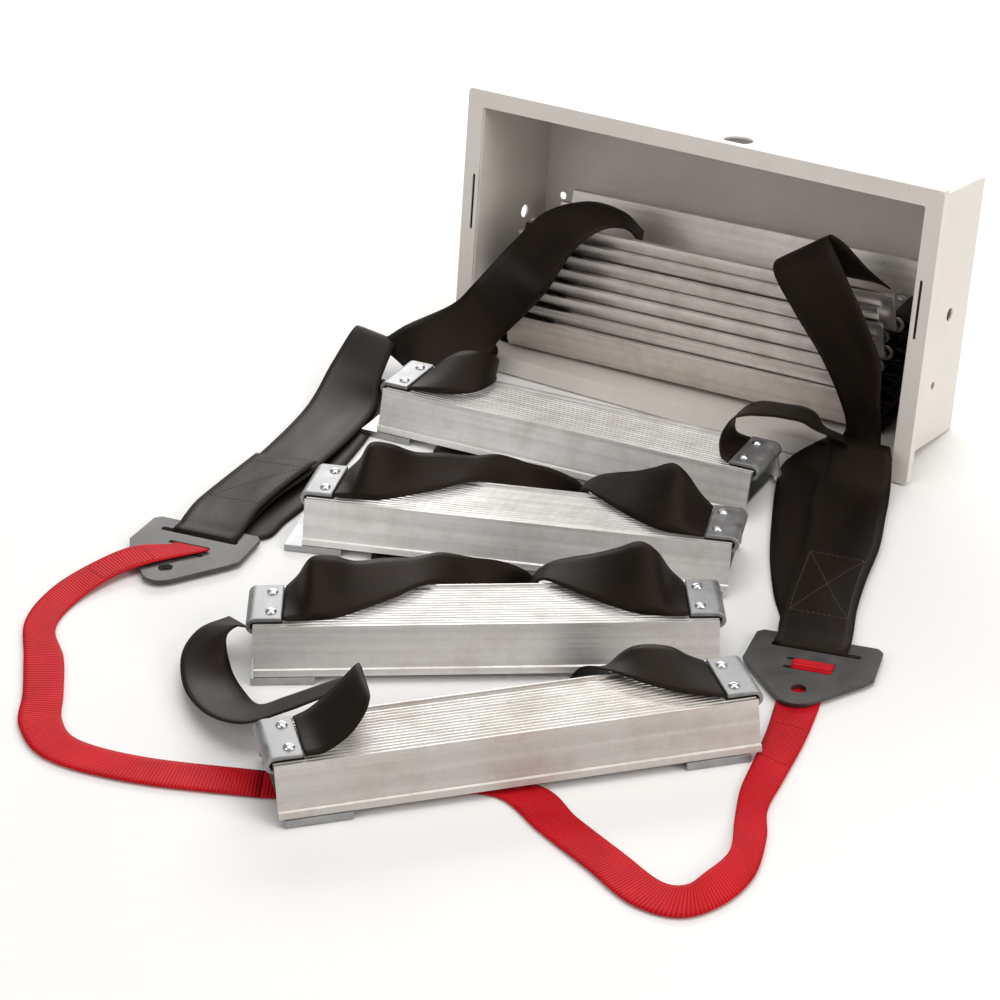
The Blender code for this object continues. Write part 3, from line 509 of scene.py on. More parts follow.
def drawn_aluminium(name, yaw, light_shade_tint=(1.0, 0.98, 0.965), base_roughness=0.40):
    """Mill-finish extrusion: fine streaks along its length, pits and hand smudges."""
    make = Nodes(name)
    along = make.coordinates(False, (3.0, 1500.0, 1500.0), yaw)
    wide = make.coordinates(False, (2.0, 190.0, 190.0), yaw)
    even = make.coordinates(False, (1, 1, 1), yaw)
    fine = make.noise(along, 1.0, 3.0, 0.65)
    bands = make.noise(wide, 1.0, 3.0, 0.6)
    smudge = make.noise(even, 34, 6.0, 0.7)
    pit = make.noise(even, 620, 2.0, 0.5)
    # The tint scales this copy's colour: painted light and shade, different for each rung.
    light = tuple(0.86 * c for c in light_shade_tint)
    dark = tuple(0.70 * c for c in light_shade_tint)
    color = make.ramp(bands, (0.30, dark), (0.66, light))
    grime = make.ramp(smudge, (0.34, (0.72, 0.68, 0.64)), (0.56, (1.0, 1.0, 1.0)))
    color = make.mix(0.50, color, grime, "MULTIPLY")
    pits = make.ramp(pit, (0.20, (0.35, 0.34, 0.33)), (0.245, (1.0, 1.0, 1.0)))
    color = make.mix(0.7, color, pits, "MULTIPLY")
    make.set(Metallic=1.0)
    rough = make.span(fine, base_roughness - 0.08, base_roughness + 0.12, 0.25, 0.75)
    rough = make.math("ADD", rough, make.span(smudge, 0.07, -0.03, 0.35, 0.65))
    normal = make.bump(fine, 0.00005, 0.25)
    normal = make.bump(pit, 0.0002, 0.12, normal)
    return make.finish(color, rough, normal)


def tumbled_aluminium(name, value=0.40, roughness=0.50):
    """Satin clip metal with short random scratches and cloudy patches."""
    make = Nodes(name)
    even = make.coordinates(False, (1, 1, 1))
    slant = make.coordinates(False, (900.0, 90.0, 400.0), 31.0)
    cross = make.coordinates(False, (120.0, 1100.0, 300.0), -17.0)
    cloud = make.noise(even, 110, 4.0, 0.65)
    scratch = make.math("ADD", make.noise(slant, 1.0, 3.0), make.noise(cross, 1.0, 3.0))
    color = make.ramp(
        cloud, (0.32, (value * 0.72, value * 0.73, value * 0.75)), (0.64, (value, value, value * 1.01))
    )
    lines = make.ramp(scratch, (0.36, (0.6, 0.6, 0.6)), (0.45, (1.0, 1.0, 1.0)))
    color = make.mix(0.6, color, lines, "MULTIPLY")
    make.set(Metallic=1.0)
    rough = make.span(cloud, roughness - 0.07, roughness + 0.12, 0.3, 0.7)
    return make.finish(color, rough, make.bump(scratch, 0.00008, 0.35))


def dark_plate():
    """Dark grey steel, satin, with rubbed streaks."""
    make = Nodes("dark_plate")
    even = make.coordinates(False, (1, 1, 1))
    grain = make.coordinates(False, (60.0, 1400.0, 300.0), 12.0)
    cloud = make.noise(even, 60, 5.0, 0.6)
    fine = make.noise(grain, 1.0, 3.0)
    peel = make.noise(even, 1100, 2.0)
    color = make.ramp(cloud, (0.32, (0.062, 0.058, 0.057)), (0.68, (0.105, 0.101, 0.100)))
    rubs = make.ramp(fine, (0.30, (0.82, 0.82, 0.82)), (0.60, (1.0, 1.0, 1.0)))
    color = make.mix(0.7, color, rubs, "MULTIPLY")
    make.set(Metallic=0.55)
    rough = make.span(cloud, 0.40, 0.54, 0.3, 0.7)
    return make.finish(color, rough, make.bump(peel, 0.0001, 0.3))


def black_webbing():
    """Seat-belt weave: fine ribs along the strap with a small chevron, a brown sheen."""
    make = Nodes("black_webbing")
    flat = make.coordinates(True, (1, 1, 1))
    ribs = make.wave(flat, "X", 170.0)
    slant = make.coordinates(True, (1.0, 0.6, 1.0), 32.0)
    twill = make.wave(slant, "X", 250.0, 0.4)
    fuzz = make.noise(flat, 900, 3.0)
    drift = make.coordinates(True, (38.0, 9.0, 1.0))
    cloud = make.noise(drift, 1.0, 4.0, 0.6)
    color = make.ramp(cloud, (0.34, (0.0030, 0.0020, 0.0015)), (0.70, (0.0120, 0.0078, 0.0050)))
    crossing = make.math("MULTIPLY", ribs, twill)
    weave = make.ramp(crossing, (0.05, (0.66, 0.66, 0.66)), (0.6, (1.15, 1.12, 1.1)))
    color = make.mix(0.75, color, weave, "MULTIPLY")
    make.set(Sheen_Weight=0.012, Sheen_Roughness=0.5, Specular_IOR_Level=0.20)
    make.set(Sheen_Tint=(0.80, 0.56, 0.40, 1.0))
    make.set(Specular_Tint=(1.0, 0.78, 0.60, 1.0))
    rough = make.span(cloud, 0.44, 0.60, 0.3, 0.7)
    normal = make.bump(ribs, 0.00010, 0.5)
    normal = make.bump(twill, 0.00006, 0.45, normal)
    normal = make.bump(fuzz, 0.00006, 0.3, normal)
    return make.finish(color, rough, normal)


def red_webbing():
    """Red strap with strong ribs across it and a fine thread along them."""
    make = Nodes("red_webbing")
    flat = make.coordinates(True, (1, 1, 1))
    ribs = make.wave(flat, "Y", 150.0, 0.5, 1.0, 4.0)
    threads = make.wave(flat, "X", 390.0, 0.6, 1.0, 4.0)
    fuzz = make.noise(flat, 1300, 3.0)
    cloud = make.noise(flat, 24, 4.0, 0.6)
    color = make.ramp(cloud, (0.30, (0.60, 0.002, 0.010)), (0.68, (0.80, 0.006, 0.018)))
    shade = make.ramp(ribs, (0.10, (0.42, 0.36, 0.38)), (0.65, (1.0, 1.0, 1.0)))
    color = make.mix(0.85, color, shade, "MULTIPLY")
    grain = make.ramp(threads, (0.15, (0.78, 0.74, 0.74)), (0.7, (1.0, 1.0, 1.0)))
    color = make.mix(0.6, color, grain, "MULTIPLY")
    make.set(Sheen_Weight=0.03, Sheen_Roughness=0.4, Specular_IOR_Level=0.15)
    make.set(Sheen_Tint=(1.0, 0.30, 0.30, 1.0))
    rough = make.span(fuzz, 0.50, 0.66, 0.3, 0.7)
    normal = make.bump(ribs, 0.00032, 0.75)
    normal = make.bump(threads, 0.00010, 0.5, normal)
    return make.finish(color, rough, normal)


def thread(name, color):
    make = Nodes(name)
    even = make.coordinates(False, (1, 1, 1))
    twist = make.wave(even, "DIAGONAL", 700.0, 1.0)
    shade = make.ramp(twist, (0.1, tuple(0.6 * c for c in color)), (0.7, color))
    make.set(Specular_IOR_Level=0.3)
    return make.finish(shade, make.span(twist, 0.5, 0.7), make.bump(twist, 0.0001, 0.4))


def floor_material():
    make = Nodes("studio_floor")
    even = make.coordinates(False, (1, 1, 1))
    cloud = make.noise(even, 3, 2.0)
    color = make.ramp(cloud, (0.2, (0.90, 0.90, 0.90)), (0.8, (0.92, 0.92, 0.92)))
    make.set(Roughness=0.9, Specular_IOR_Level=0.1)
    return make.finish(color)


# ---------------------------------------------------------------- straps
def smooth(points):
    """Catmull-Rom curve through the points."""
    padded = [points[0] * 2 - points[1]] + list(points) + [points[-1] * 2 - points[-2]]
    result = []
    for index in range(1, len(padded) - 2):
        before, start, end, after = padded[index - 1:index + 3]
        for step in range(SAMPLES):
            t = step / SAMPLES
            result.append(
                0.5 * ((2 * start) + (end - before) * t
                       + (2 * before - 5 * start + 4 * end - after) * t * t
                       + (3 * start - before - 3 * end + after) * t * t * t)
            )
    result.append(points[-1])
    return result


class Ribbon:
    """A woven strap between two smooth edges, with a rounded selvedge and UVs in metres."""

    ACROSS = 8

    def __init__(self, name, stations, width, thickness, material, first=0, last=None):
        """first and last are the stations that this piece runs between, on the whole route."""
        self.width = width
        self.thickness = thickness
        self.edges = [smooth([Vector(pair[side]) for pair in stations]) for side in (0, 1)]
        end = None if last is None else last * SAMPLES + 1
        self.edges = [edge[first * SAMPLES:end] for edge in self.edges]
        self.middle = [(a + b) / 2 for a, b in zip(*self.edges)]
        self.travel = [0.0]
        for before, after in zip(self.middle, self.middle[1:]):
            self.travel.append(self.travel[-1] + (after - before).length)
        self.normals = [self.normal_at(index) for index in range(len(self.middle))]
        self.piece = self.build(name, material)

    def normal_at(self, index):
        last = len(self.middle) - 1
        along = self.middle[min(index + 1, last)] - self.middle[max(index - 1, 0)]
        across = self.edges[1][index] - self.edges[0][index]
        return along.cross(across).normalized()

    def build(self, name, material):
        vertices = []
        uvs = []
        count = self.ACROSS + 1
        for index, normal in enumerate(self.normals):
            first, second = self.edges[0][index], self.edges[1][index]
            ring = []
            for side in (1, -1):
                steps = range(count) if side == 1 else reversed(range(count))
                for step in steps:
                    share = step / self.ACROSS
                    edge = min(share, 1 - share)
                    half = self.thickness / 2 * (0.55 if edge == 0 else 1.0)
                    ring.append((first.lerp(second, share) + normal * half * side, share))
            for point, share in ring:
                vertices.append(point)
                uvs.append((share * self.width, self.travel[index]))
        around = 2 * count
        faces = []
        for index in range(len(self.normals) - 1):
            for step in range(around):
                a = index * around + step
                b = index * around + (step + 1) % around
                faces.append((a, b, b + around, a + around))
        end = (len(self.normals) - 1) * around
        faces.append(tuple(reversed(range(around))))
        faces.append(tuple(end + step for step in range(around)))
        mesh = bpy.data.meshes.new(name)
        mesh.from_pydata(vertices, [], faces)
        layer = mesh.uv_layers.new(name="weave")
        for loop in mesh.loops:
            layer.data[loop.index].uv = uvs[loop.vertex_index]
        for polygon in mesh.polygons:
            polygon.use_smooth = len(polygon.vertices) == 4
        mesh.materials.append(material)
        piece = bpy.data.objects.new(name, mesh)
        bpy.context.scene.collection.objects.link(piece)
        return piece

    def frame_at(self, travel, share, side=1):
        """Point and outward normal of a surface at a distance along and a share across."""
        index = 0
        while index < len(self.travel) - 2 and self.travel[index + 1] < travel:
            index += 1
        step = self.travel[index + 1] - self.travel[index]
        t = 0.0 if step == 0 else (travel - self.travel[index]) / step
        first = self.edges[0][index].lerp(self.edges[0][index + 1], t)
        second = self.edges[1][index].lerp(self.edges[1][index + 1], t)
        normal = self.normals[index].lerp(self.normals[index + 1], t).normalized() * side
        return first.lerp(second, share) + normal * self.thickness / 2, normal


def sew(name, ribbon, lines, material, side):
    """Short rounded stitches along straight lines given as (travel, share) pairs on a ribbon."""
    vertices = []
    faces = []
    profile = ((-0.5, 0.25), (-0.3, 0.95), (0.0, 1.15), (0.3, 0.95), (0.5, 0.25))
    for start, end in lines:
        first = ribbon.frame_at(*start, side)[0]
        second = ribbon.frame_at(*end, side)[0]
        count = max(1, round((second - first).length / STITCH_PITCH))
        for index in range(count):
            share = (index + 0.5) / count
            travel = start[0] + (end[0] - start[0]) * share
            across = start[1] + (end[1] - start[1]) * share
            point, normal = ribbon.frame_at(travel, across, side)
            ahead = ribbon.frame_at(
                travel + (end[0] - start[0]) * 0.2 / count, across + (end[1] - start[1]) * 0.2 / count, side
            )[0]
            along = (ahead - point).normalized()
            sideways = normal.cross(along).normalized()
            base = len(vertices)
            for place_along, swell in profile:
                center = point + along * place_along * STITCH_LENGTH
                for angle in (0, 60, 120, 180):
                    turn = math.radians(angle)
                    vertices.append(
                        center + sideways * math.cos(turn) * STITCH_RADIUS * swell
                        + normal * (math.sin(turn) * STITCH_RADIUS * swell - STITCH_RADIUS * 0.15)
                    )
            for ring in range(len(profile) - 1):
                for step in range(4):
                    a = base + ring * 4 + step
                    b = base + ring * 4 + (step + 1) % 4
                    faces.append((a, b, b + 4, a + 4))
            faces.append(tuple(base + step for step in (3, 2, 1, 0)))
            last = base + (len(profile) - 1) * 4
            faces.append(tuple(last + step for step in range(4)))
    return mesh_piece(name, vertices, faces, material)


def mesh_piece(name, vertices, faces, material, smooth_shade=True):
    mesh = bpy.data.meshes.new(name)
    mesh.from_pydata(vertices, [], faces)
    mesh.materials.append(material)
    for polygon in mesh.polygons:
        polygon.use_smooth = smooth_shade
    piece = bpy.data.objects.new(name, mesh)
    bpy.context.scene.collection.objects.link(piece)
    return piece


def join(name, pieces):
    """One piece from several, keeping materials and UVs."""
    for piece in pieces:
        piece.select_set(True)
    bpy.context.view_layer.objects.active = pieces[0]
    with bpy.context.temp_override(
        active_object=pieces[0], selected_editable_objects=pieces, selected_objects=pieces
    ):
        bpy.ops.object.join()
    pieces[0].name = name
    pieces[0].data.name = name
    return pieces[0]


def declare(ribbon, length):
    """Compares a strap's length with six of its widths and does nothing more; it does not declare the strap a
    free flat cord.
    """
    if length < 6 * ribbon.width:
        return


def build_rung_webbing(material):
    """Webbing between neighbouring floor rungs."""
    first = rung_frame("rung_1")
    second = rung_frame("rung_2")
    routes = [
        ("webbing_1_2_left", "rung_1", "rung_2", stations_in(first, LOOP_1_TO_2), 0.269),
        ("webbing_1_2_right", "rung_1", "rung_2",
         stations_in(first, FLAP_1_TO_2) + stations_in(second, UNDER_SECOND), 0.230),
    ]
    sides = (("left", 1, LEFT_BAND, 0.373), ("right", -1, RIGHT_BAND, 0.242))
    for near, far in (("rung_2", "rung_3"), ("rung_3", "rung_4")):
        for label, mirror, band, length in sides:
            stations = stations_in(rung_frame(near), band, mirror)
            stations += stations_in(rung_frame(far), UNDER_NEXT, mirror)
            routes.append((f"webbing_{near[-1]}_{far[-1]}_{label}", near, far, stations, length))
    for name, near, far, stations, length in routes:
        ribbon = Ribbon(name + "_strap", stations, WEBBING_WIDTH, WEBBING, material)
        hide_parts(name)
        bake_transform(ribbon.piece)
        declare(ribbon, length)


def build_box_webbing(material):
    """Webbing from the nearest floor rung over the box's lip."""
    fourth = rung_frame("rung_4")
    ground = place(0.0, 0.0)
    routes = (
        ("webbing_4_stack_left", LEFT_4_TO_STACK, INTO_BOX_LEFT, 0.213),
        ("webbing_4_stack_right", RIGHT_4_TO_STACK, INTO_BOX_RIGHT, 0.171),
    )
    for name, outside, inside, length in routes:
        stations = stations_in(fourth, outside) + stations_in(ground, inside)
        ribbon = Ribbon(name + "_strap", stations, WEBBING_WIDTH, WEBBING, material)
        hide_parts(name)
        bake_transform(ribbon.piece)
        declare(ribbon, length)


def through_slot(plate, passes, left, right):
    """Stations across a plate's wide slot, with the strap between left and right along it."""
    frame_of_plate = plate_frame(plate)
    return [
        (frame_of_plate @ Vector((left, y, z)), frame_of_plate @ Vector((right, y, z)))
        for y, z in passes
    ]


def build_plate_straps(material, stitching):
    """The doubled straps from the anchor plates to the box, with their sewn parts."""
    ground = place(0.0, 0.0)
    left_slot = through_slot(PLATE_LEFT, SLOT_PASS, -0.0206, 0.0270)
    right_slot = through_slot(PLATE_RIGHT, SLOT_PASS, -0.0275, 0.0200)
    left_under = through_slot(PLATE_LEFT, UNDER_EDGE, -0.0180, 0.0290)
    right_under = through_slot(PLATE_RIGHT, UNDER_EDGE, -0.0275, 0.0200)
    left_route = left_slot[3:4] + stations_in(ground, LEFT_MAIN + LEFT_TO_STACK)
    plans = (
        ("strap_left_flap", left_slot + stations_in(ground, LEFT_FLAP), "left_plate", 0.118, 0, None),
        ("strap_left_main", left_route, "left_plate", 0.290, 0, len(LEFT_MAIN)),
        ("strap_left_lower", left_under + stations_in(ground, LEFT_LOWER), "left_plate", 0.264, 0, None),
        ("strap_right_upper", right_slot + stations_in(ground, RIGHT_UPPER), "right_plate", 0.277, 0, None),
        ("strap_right_lower", right_under + stations_in(ground, RIGHT_LOWER), "right_plate", 0.272, 0, None),
        ("strap_left_inner", left_route, "stack", 0.270, len(LEFT_MAIN), None),
        ("strap_right_inner", stations_in(ground, RIGHT_TO_STACK), "stack", 0.225, 0, None),
    )
    made = {}
    for name, stations, _, _, first, last in plans:
        ribbon = Ribbon(name, stations, TOP_STRAP_WIDTH, WEBBING, material, first, last)
        side = "left" if "left" in name else "right"
        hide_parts("top_strap_" + side)
        made[name] = ribbon
    seams = (
        ("left_sewing", "strap_left_flap", ((0.060, 0.10), (0.060, 0.90), (0.118, 0.93), (0.118, 0.07))),
        ("right_sewing", "strap_right_upper", ((0.052, 0.10), (0.052, 0.90), (0.130, 0.88), (0.130, 0.12))),
    )
    for name, owner, corners in seams:
        a, b, c, d = corners
        lines = ((a, b), (b, c), (c, d), (d, a), (a, c), (b, d))
        ribbon = made[owner]
        side = 1 if ribbon.normals[len(ribbon.normals) // 2].z > 0 else -1
        made[name] = sew(name, ribbon, lines, stitching, side)
    for name, _, body, length, _, _ in plans:
        ribbon = made[name]
        sewn = [made[seam[0]] for seam in seams if seam[1] == name]
        if body == "stack":
            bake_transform(ribbon.piece)
        else:
            for piece in [ribbon.piece] + sewn:
                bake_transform(piece)
        declare(ribbon, length)


def build_bridle(material, stitching):
    """The red strap from plate to plate, in two halves that meet under the first rung."""
    stations = stations_in(place(0.0, 0.0), BRIDLE)
    left = through_slot(PLATE_LEFT, RED_UP, -0.0110, 0.0150) + stations[2:BRIDLE_HALVES_MEET + 1]
    right = stations[BRIDLE_HALVES_MEET:] + through_slot(PLATE_RIGHT, RED_UP_AND_DOWN, 0.0155, -0.0105)
    halves = (
        ("bridle_left", left, "left_plate", 0, 0.435, (0.045, 0.085)),
        ("bridle_right", right, "right_plate", -1, 0.581, (0.455, 0.495)),
    )
    for name, half, body, exit_index, length, sewn in halves:
        ribbon = Ribbon(name, half, RED_WIDTH, RED_WEBBING, material)
        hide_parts("bridle_strap")
        low, high = sewn
        corners = ((low, 0.12), (low, 0.88), (high, 0.88), (high, 0.12))
        a, b, c, d = corners
        side = 1 if ribbon.normals[len(ribbon.normals) // 2].z > 0 else -1
        stitches = sew(name + "_sewing", ribbon, ((a, b), (b, c), (c, d), (d, a)), stitching, side)
        for piece in (ribbon.piece, stitches):
            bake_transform(piece)
        declare(ribbon, length)


def folded_roll(x_end, reach, side, tilt):
    """Stations of webbing that comes out above a nested rung's clip and goes back below it."""
    path = (
        (-0.0060, 0.0078), (0.0010, 0.0080), (reach * 0.55, 0.0072 + tilt), (reach * 0.92, 0.0052 + tilt),
        (reach, 0.0015 + tilt), (reach * 0.90, -0.0016 + tilt), (reach * 0.5, -0.0028), (-0.0010, -0.0030),
        (-0.0060, -0.0032),
    )
    half = WEBBING_WIDTH / 2 - 0.001
    return [((side * (x_end + x), -half, z), (side * (x_end + x), half, z)) for x, z in path]


def build_stack_webbing(material):
    """Webbing folded away between the nested rungs: rolls past both ends, and dark wedges at the front that
    paint the black strap's reflection and shadow on the webs.
    """
    rng = random.Random(7)
    pieces = []
    for index, offset in enumerate(STACK_OFFSETS):
        level = STACK_BASE + index * STACK_PITCH
        seat = place(offset, STACK_FRONT_MIDDLE, level, STACK_YAW)
        for side, reaches in ((1, RIGHT_ROLLS), (-1, LEFT_ROLLS)):
            tilt = rng.uniform(-0.0008, 0.0008)
            stations = stations_in(seat, folded_roll(RUNG_LENGTH / 2, reaches[index], side, tilt))
            pieces.append(Ribbon("roll", stations, WEBBING_WIDTH, WEBBING, material).piece)
    # Dark wedges on the front webs at the left end: painted reflection and shadow of the black strap.
    for index, reach in enumerate(REFLECTION_WEDGES):
        level = STACK_BASE + index * STACK_PITCH
        seat = place(STACK_OFFSETS[index], STACK_FRONT_MIDDLE, level, STACK_YAW)
        start = -RUNG_LENGTH / 2 + 0.004
        stations = []
        for share in (0.0, 0.3, 0.6, 0.85, 1.0):
            x = start + reach * share
            rise = 0.0064 * (1 - share) ** 0.7 + 0.0005
            wobble = rng.uniform(-0.0004, 0.0004)
            low = (x, -0.0333, RUNG_HEIGHT + 0.0003)
            high = (x, -0.0322 + 0.31 * rise, RUNG_HEIGHT + rise + wobble)
            stations.append((low, high))
        pieces.append(Ribbon("reflection_wedge", stations_in(seat, stations), 0.006, WEBBING, material).piece)
    joined = join("stack_webbing_and_reflection_wedges", pieces)
    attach(joined, "stack")


# ---------------------------------------------------------------- metal details
def clip_section():
    """U section in (x, z) round the right end of a tread, with rounded lips."""
    inner_high = RUNG_HEIGHT + WEBBING_ROOM
    inner_low = RUNG_HEIGHT - RUNG_WALL - WEBBING_ROOM
    high, low = inner_high + CLIP_SHEET, inner_low - CLIP_SHEET
    middle = (high + low) / 2
    inner_radius = (inner_high - inner_low) / 2
    outer_radius = (high - low) / 2
    center_x = RUNG_LENGTH / 2 + WEBBING_ROOM - inner_radius
    reach = RUNG_LENGTH / 2 - CLIP_REACH
    points = []
    for step in range(17):
        angle = math.radians(-90 + 180 * step / 16)
        x = center_x + outer_radius * math.cos(angle)
        points.append((x, middle + outer_radius * math.sin(angle)))
    lip = CLIP_SHEET / 2
    for step in range(5):
        angle = math.radians(90 + 180 * step / 4)
        points.append((reach + lip / 2 * (1 + math.cos(angle)), inner_high + lip * (1 + math.sin(angle))))
    for step in range(13):
        angle = math.radians(90 - 180 * step / 12)
        x = center_x + inner_radius * math.cos(angle)
        points.append((x, middle + inner_radius * math.sin(angle)))
    for step in range(5):
        angle = math.radians(90 + 180 * step / 4)
        points.append((reach + lip / 2 * (1 + math.cos(angle)), inner_low - lip * (1 - math.sin(angle))))
    return points


def clip_mesh(matrix, side, half=CLIP_HALF):
    """Bent clip: the section swept across, with its cut edges eased."""
    section = clip_section()
    count = len(section)
    vertices = []
    rows = ((-half, 1), (-half + CLIP_EASE, 0), (half - CLIP_EASE, 0), (half, 1))
    normals = []
    for index, (x, z) in enumerate(section):
        before = section[index - 1]
        after = section[(index + 1) % count]
        dx, dz = after[0] - before[0], after[1] - before[1]
        size = math.hypot(dx, dz) or 1.0
        normals.append((dz / size, -dx / size))
    for y, eased in rows:
        for (x, z), (nx, nz) in zip(section, normals):
            shrink = CLIP_EASE if eased else 0.0
            vertices.append(matrix @ Vector((side * (x - nx * shrink), y, z - nz * shrink)))
    faces = []
    for row in range(len(rows) - 1):
        for step in range(count):
            a = row * count + step
            b = row * count + (step + 1) % count
            quad = (a, b, b + count, a + count)
            faces.append(quad if side > 0 else tuple(reversed(quad)))
    first = tuple(range(count))
    last = tuple((len(rows) - 1) * count + step for step in range(count))
    faces.append(tuple(reversed(first)) if side > 0 else first)
    faces.append(last if side > 0 else tuple(reversed(last)))
    return vertices, faces


def rivet_mesh(matrix, tail=True):
    """Turned rivet: domed head, and a flat tail under the clip."""
    seat = RUNG_HEIGHT + WEBBING_ROOM + CLIP_SHEET
    low = RUNG_HEIGHT - RUNG_WALL - WEBBING_ROOM - CLIP_SHEET
    profile = [
        (0.0, seat + RIVET_DOME), (RIVET_HEAD * 0.30, seat + RIVET_DOME * 0.95),
        (RIVET_HEAD * 0.55, seat + RIVET_DOME * 0.82), (RIVET_HEAD * 0.76, seat + RIVET_DOME * 0.62),
        (RIVET_HEAD * 0.92, seat + RIVET_DOME * 0.37), (RIVET_HEAD, seat + 0.0002), (RIVET_HEAD * 0.97, seat),
        (0.0020, seat),
    ]
    if tail:
        profile += [
            (0.0020, low), (RIVET_HEAD * 0.85, low), (RIVET_HEAD * 0.88, low - 0.0005),
            (RIVET_HEAD * 0.70, low - 0.0010), (0.0, low - 0.0011),
        ]
    else:
        profile += [(0.0020, seat - 0.002), (0.0, seat - 0.002)]
    turns = 20
    vertices = [matrix @ Vector((0.0, 0.0, profile[0][1]))]
    for radius, z in profile[1:-1]:
        for turn in range(turns):
            angle = 2 * math.pi * turn / turns
            vertices.append(matrix @ Vector((radius * math.cos(angle), radius * math.sin(angle), z)))
    vertices.append(matrix @ Vector((0.0, 0.0, profile[-1][1])))
    faces = []
    for turn in range(turns):
        faces.append((0, 1 + turn, 1 + (turn + 1) % turns))
    for ring in range(len(profile) - 3):
        for turn in range(turns):
            a = 1 + ring * turns + turn
            b = 1 + ring * turns + (turn + 1) % turns
            faces.append((a, a + turns, b + turns, b))
    tip = len(vertices) - 1
    base = 1 + (len(profile) - 3) * turns
    for turn in range(turns):
        faces.append((tip, base + (turn + 1) % turns, base + turn))
    return vertices, faces


def sharpen(piece, degrees=38):
    """Smooth shading with edges sharper than this kept crisp."""
    piece.data.set_sharp_from_angle(angle=math.radians(degrees))


def build_clips(clip_metal, rivet_metal, webbing):
    """Clips, rivets and the webbing folded round each floor rung's ends."""
    for name in FLOOR_RUNGS:
        base = rung_frame(name, RUNG_LIFT)
        for label, side in (("left", -1), ("right", 1)):
            clip = mesh_piece(f"{name}_clip_{label}_bent", *clip_mesh(base, side), clip_metal)
            sharpen(clip)
            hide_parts(f"{name}_clip_{label}")
            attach(clip, name)
            for end, spread in (("front", -1), ("rear", 1)):
                at = Vector((side * (RUNG_LENGTH / 2 - RIVET_INBOARD), spread * RIVET_SPREAD, 0.0))
                shape = rivet_mesh(base @ Matrix.Translation(at))
                rivet = mesh_piece(f"{name}_rivet_{label}_{end}_set", *shape, rivet_metal)
                sharpen(rivet)
                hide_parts(f"{name}_rivet_{label}_{end}")
                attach(rivet, name)
            stations = wrap_stations(base, side)
            wrap = Ribbon(f"{name}_wrap_{label}", stations, WEBBING_WIDTH - 0.002, WEBBING, webbing)
            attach(wrap.piece, name)


def wrap_stations(base, side):
    """Webbing held between a tread's end and its clip, inside the bend."""
    half = CLIP_HALF - 0.001
    top = RUNG_HEIGHT + WEBBING_ROOM / 2
    under = RUNG_HEIGHT - RUNG_WALL - WEBBING_ROOM / 2
    end = RUNG_LENGTH / 2
    path = (
        (end - CLIP_REACH - 0.0005, top), (end - 0.008, top), (end - 0.0012, top),
        (end + 0.0009, (top + under) / 2),
        (end - 0.0012, under), (end - 0.008, under), (end - CLIP_REACH - 0.012, under),
    )
    return stations_in(base, [((x, -half, z), (x, half, z)) for x, z in path], side)


def build_stack_clips(clip_metal, rivet_metal):
    """Clips on the nested rungs' ends, and the rivets that show on the topmost one."""
    clips = []
    rivets = []
    raise_over = Matrix.Translation(Vector((0, 0, 2 * RUNG_HEIGHT - RUNG_WALL)))
    flip = raise_over @ Matrix.Scale(-1, 4, (0, 0, 1))
    for index in range(len(STACK_OFFSETS)):
        base = stack_frame(index)
        for side in (-1, 1):
            piece = mesh_piece("clip", *clip_mesh(base, side, CLIP_HALF - 0.0005), clip_metal)
            sharpen(piece)
            clips.append(piece)
            if index == len(STACK_OFFSETS) - 1:
                for spread in (-1, 1):
                    at = Vector((side * (RUNG_LENGTH / 2 - RIVET_INBOARD), spread * RIVET_SPREAD, 0.0))
                    vertices, faces = rivet_mesh(base @ Matrix.Translation(at) @ flip, tail=False)
                    faces = [tuple(reversed(face)) for face in faces]
                    piece = mesh_piece("rivet", vertices, faces, rivet_metal)
                    sharpen(piece)
                    rivets.append(piece)
    groups = (("stack_clips", clips, "clip_aluminium"), ("stack_rivets", rivets, "rivet_aluminium"))
    for name, pieces, slot in groups:
        joined = join(name, pieces)
        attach(joined, "stack")


def build_slot_shade_tabs(material):
    """Spring tabs of the latches behind the flange's two slots, made near-black as painted shade, so that the
    slots read dark.
    """
    lean = place(0.0, 0.0, FLANGE_RETURN * math.sin(BOX_LEAN)) @ Matrix.Rotation(-BOX_LEAN, 4, "X")
    for label, side in (("left", -1), ("right", 1)):
        vertices = []
        for y in TAB_DEPTHS:
            for across, up in ((-1, -1), (1, -1), (1, 1), (-1, 1)):
                x = side * SLOT_MIDDLE[0] + across * TAB_HALF[0]
                z = SLOT_MIDDLE[1] + up * TAB_HALF[1]
                vertices.append(lean @ Vector((x, y, z)))
        faces = [(0, 1, 2, 3), (7, 6, 5, 4), (0, 4, 5, 1), (1, 5, 6, 2), (2, 6, 7, 3), (3, 7, 4, 0)]
        tab = mesh_piece(f"slot_shade_tab_{label}", vertices, faces, material, False)
        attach(tab, "root")


def dress_cad(box, rungs, shoe, plate):
    """Materials and eased edges on the CAD nodes that stay in view."""
    for name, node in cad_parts.items():
        if name in ("box_shell", "face_flange"):
            metal, ease = box, 0.0004
        elif name.startswith("stack_rung"):
            metal, ease = rungs["stack"], 0.0002
        elif name.endswith("_channel"):
            metal, ease = rungs[name[:6]], 0.0002
        elif "shoe" in name:
            metal, ease = shoe, 0.0002
        elif name.startswith("anchor_plate"):
            metal, ease = plate, 0.0004
        else:
            continue
        node.data.materials.clear()
        node.data.materials.append(metal)
        weld = node.modifiers.new("weld", "WELD")
        weld.merge_threshold = 0.00001
        bevel = node.modifiers.new("eased_edges", "BEVEL")
        bevel.width = ease
        bevel.segments = 2
        bevel.limit_method = "ANGLE"
        bevel.angle_limit = math.radians(40)
        bevel.harden_normals = False


# ---------------------------------------------------------------- studio
CAMERA_PLACE = (0.8229, -1.3153, 0.8826)
CAMERA_TURN = (61.73, 0.0, 33.01)
CAMERA_LENS = 95.65
FLOOR_HALF = 9.0
FLOOR_LEVEL = -0.0004
WORLD_STRENGTH = 0.26
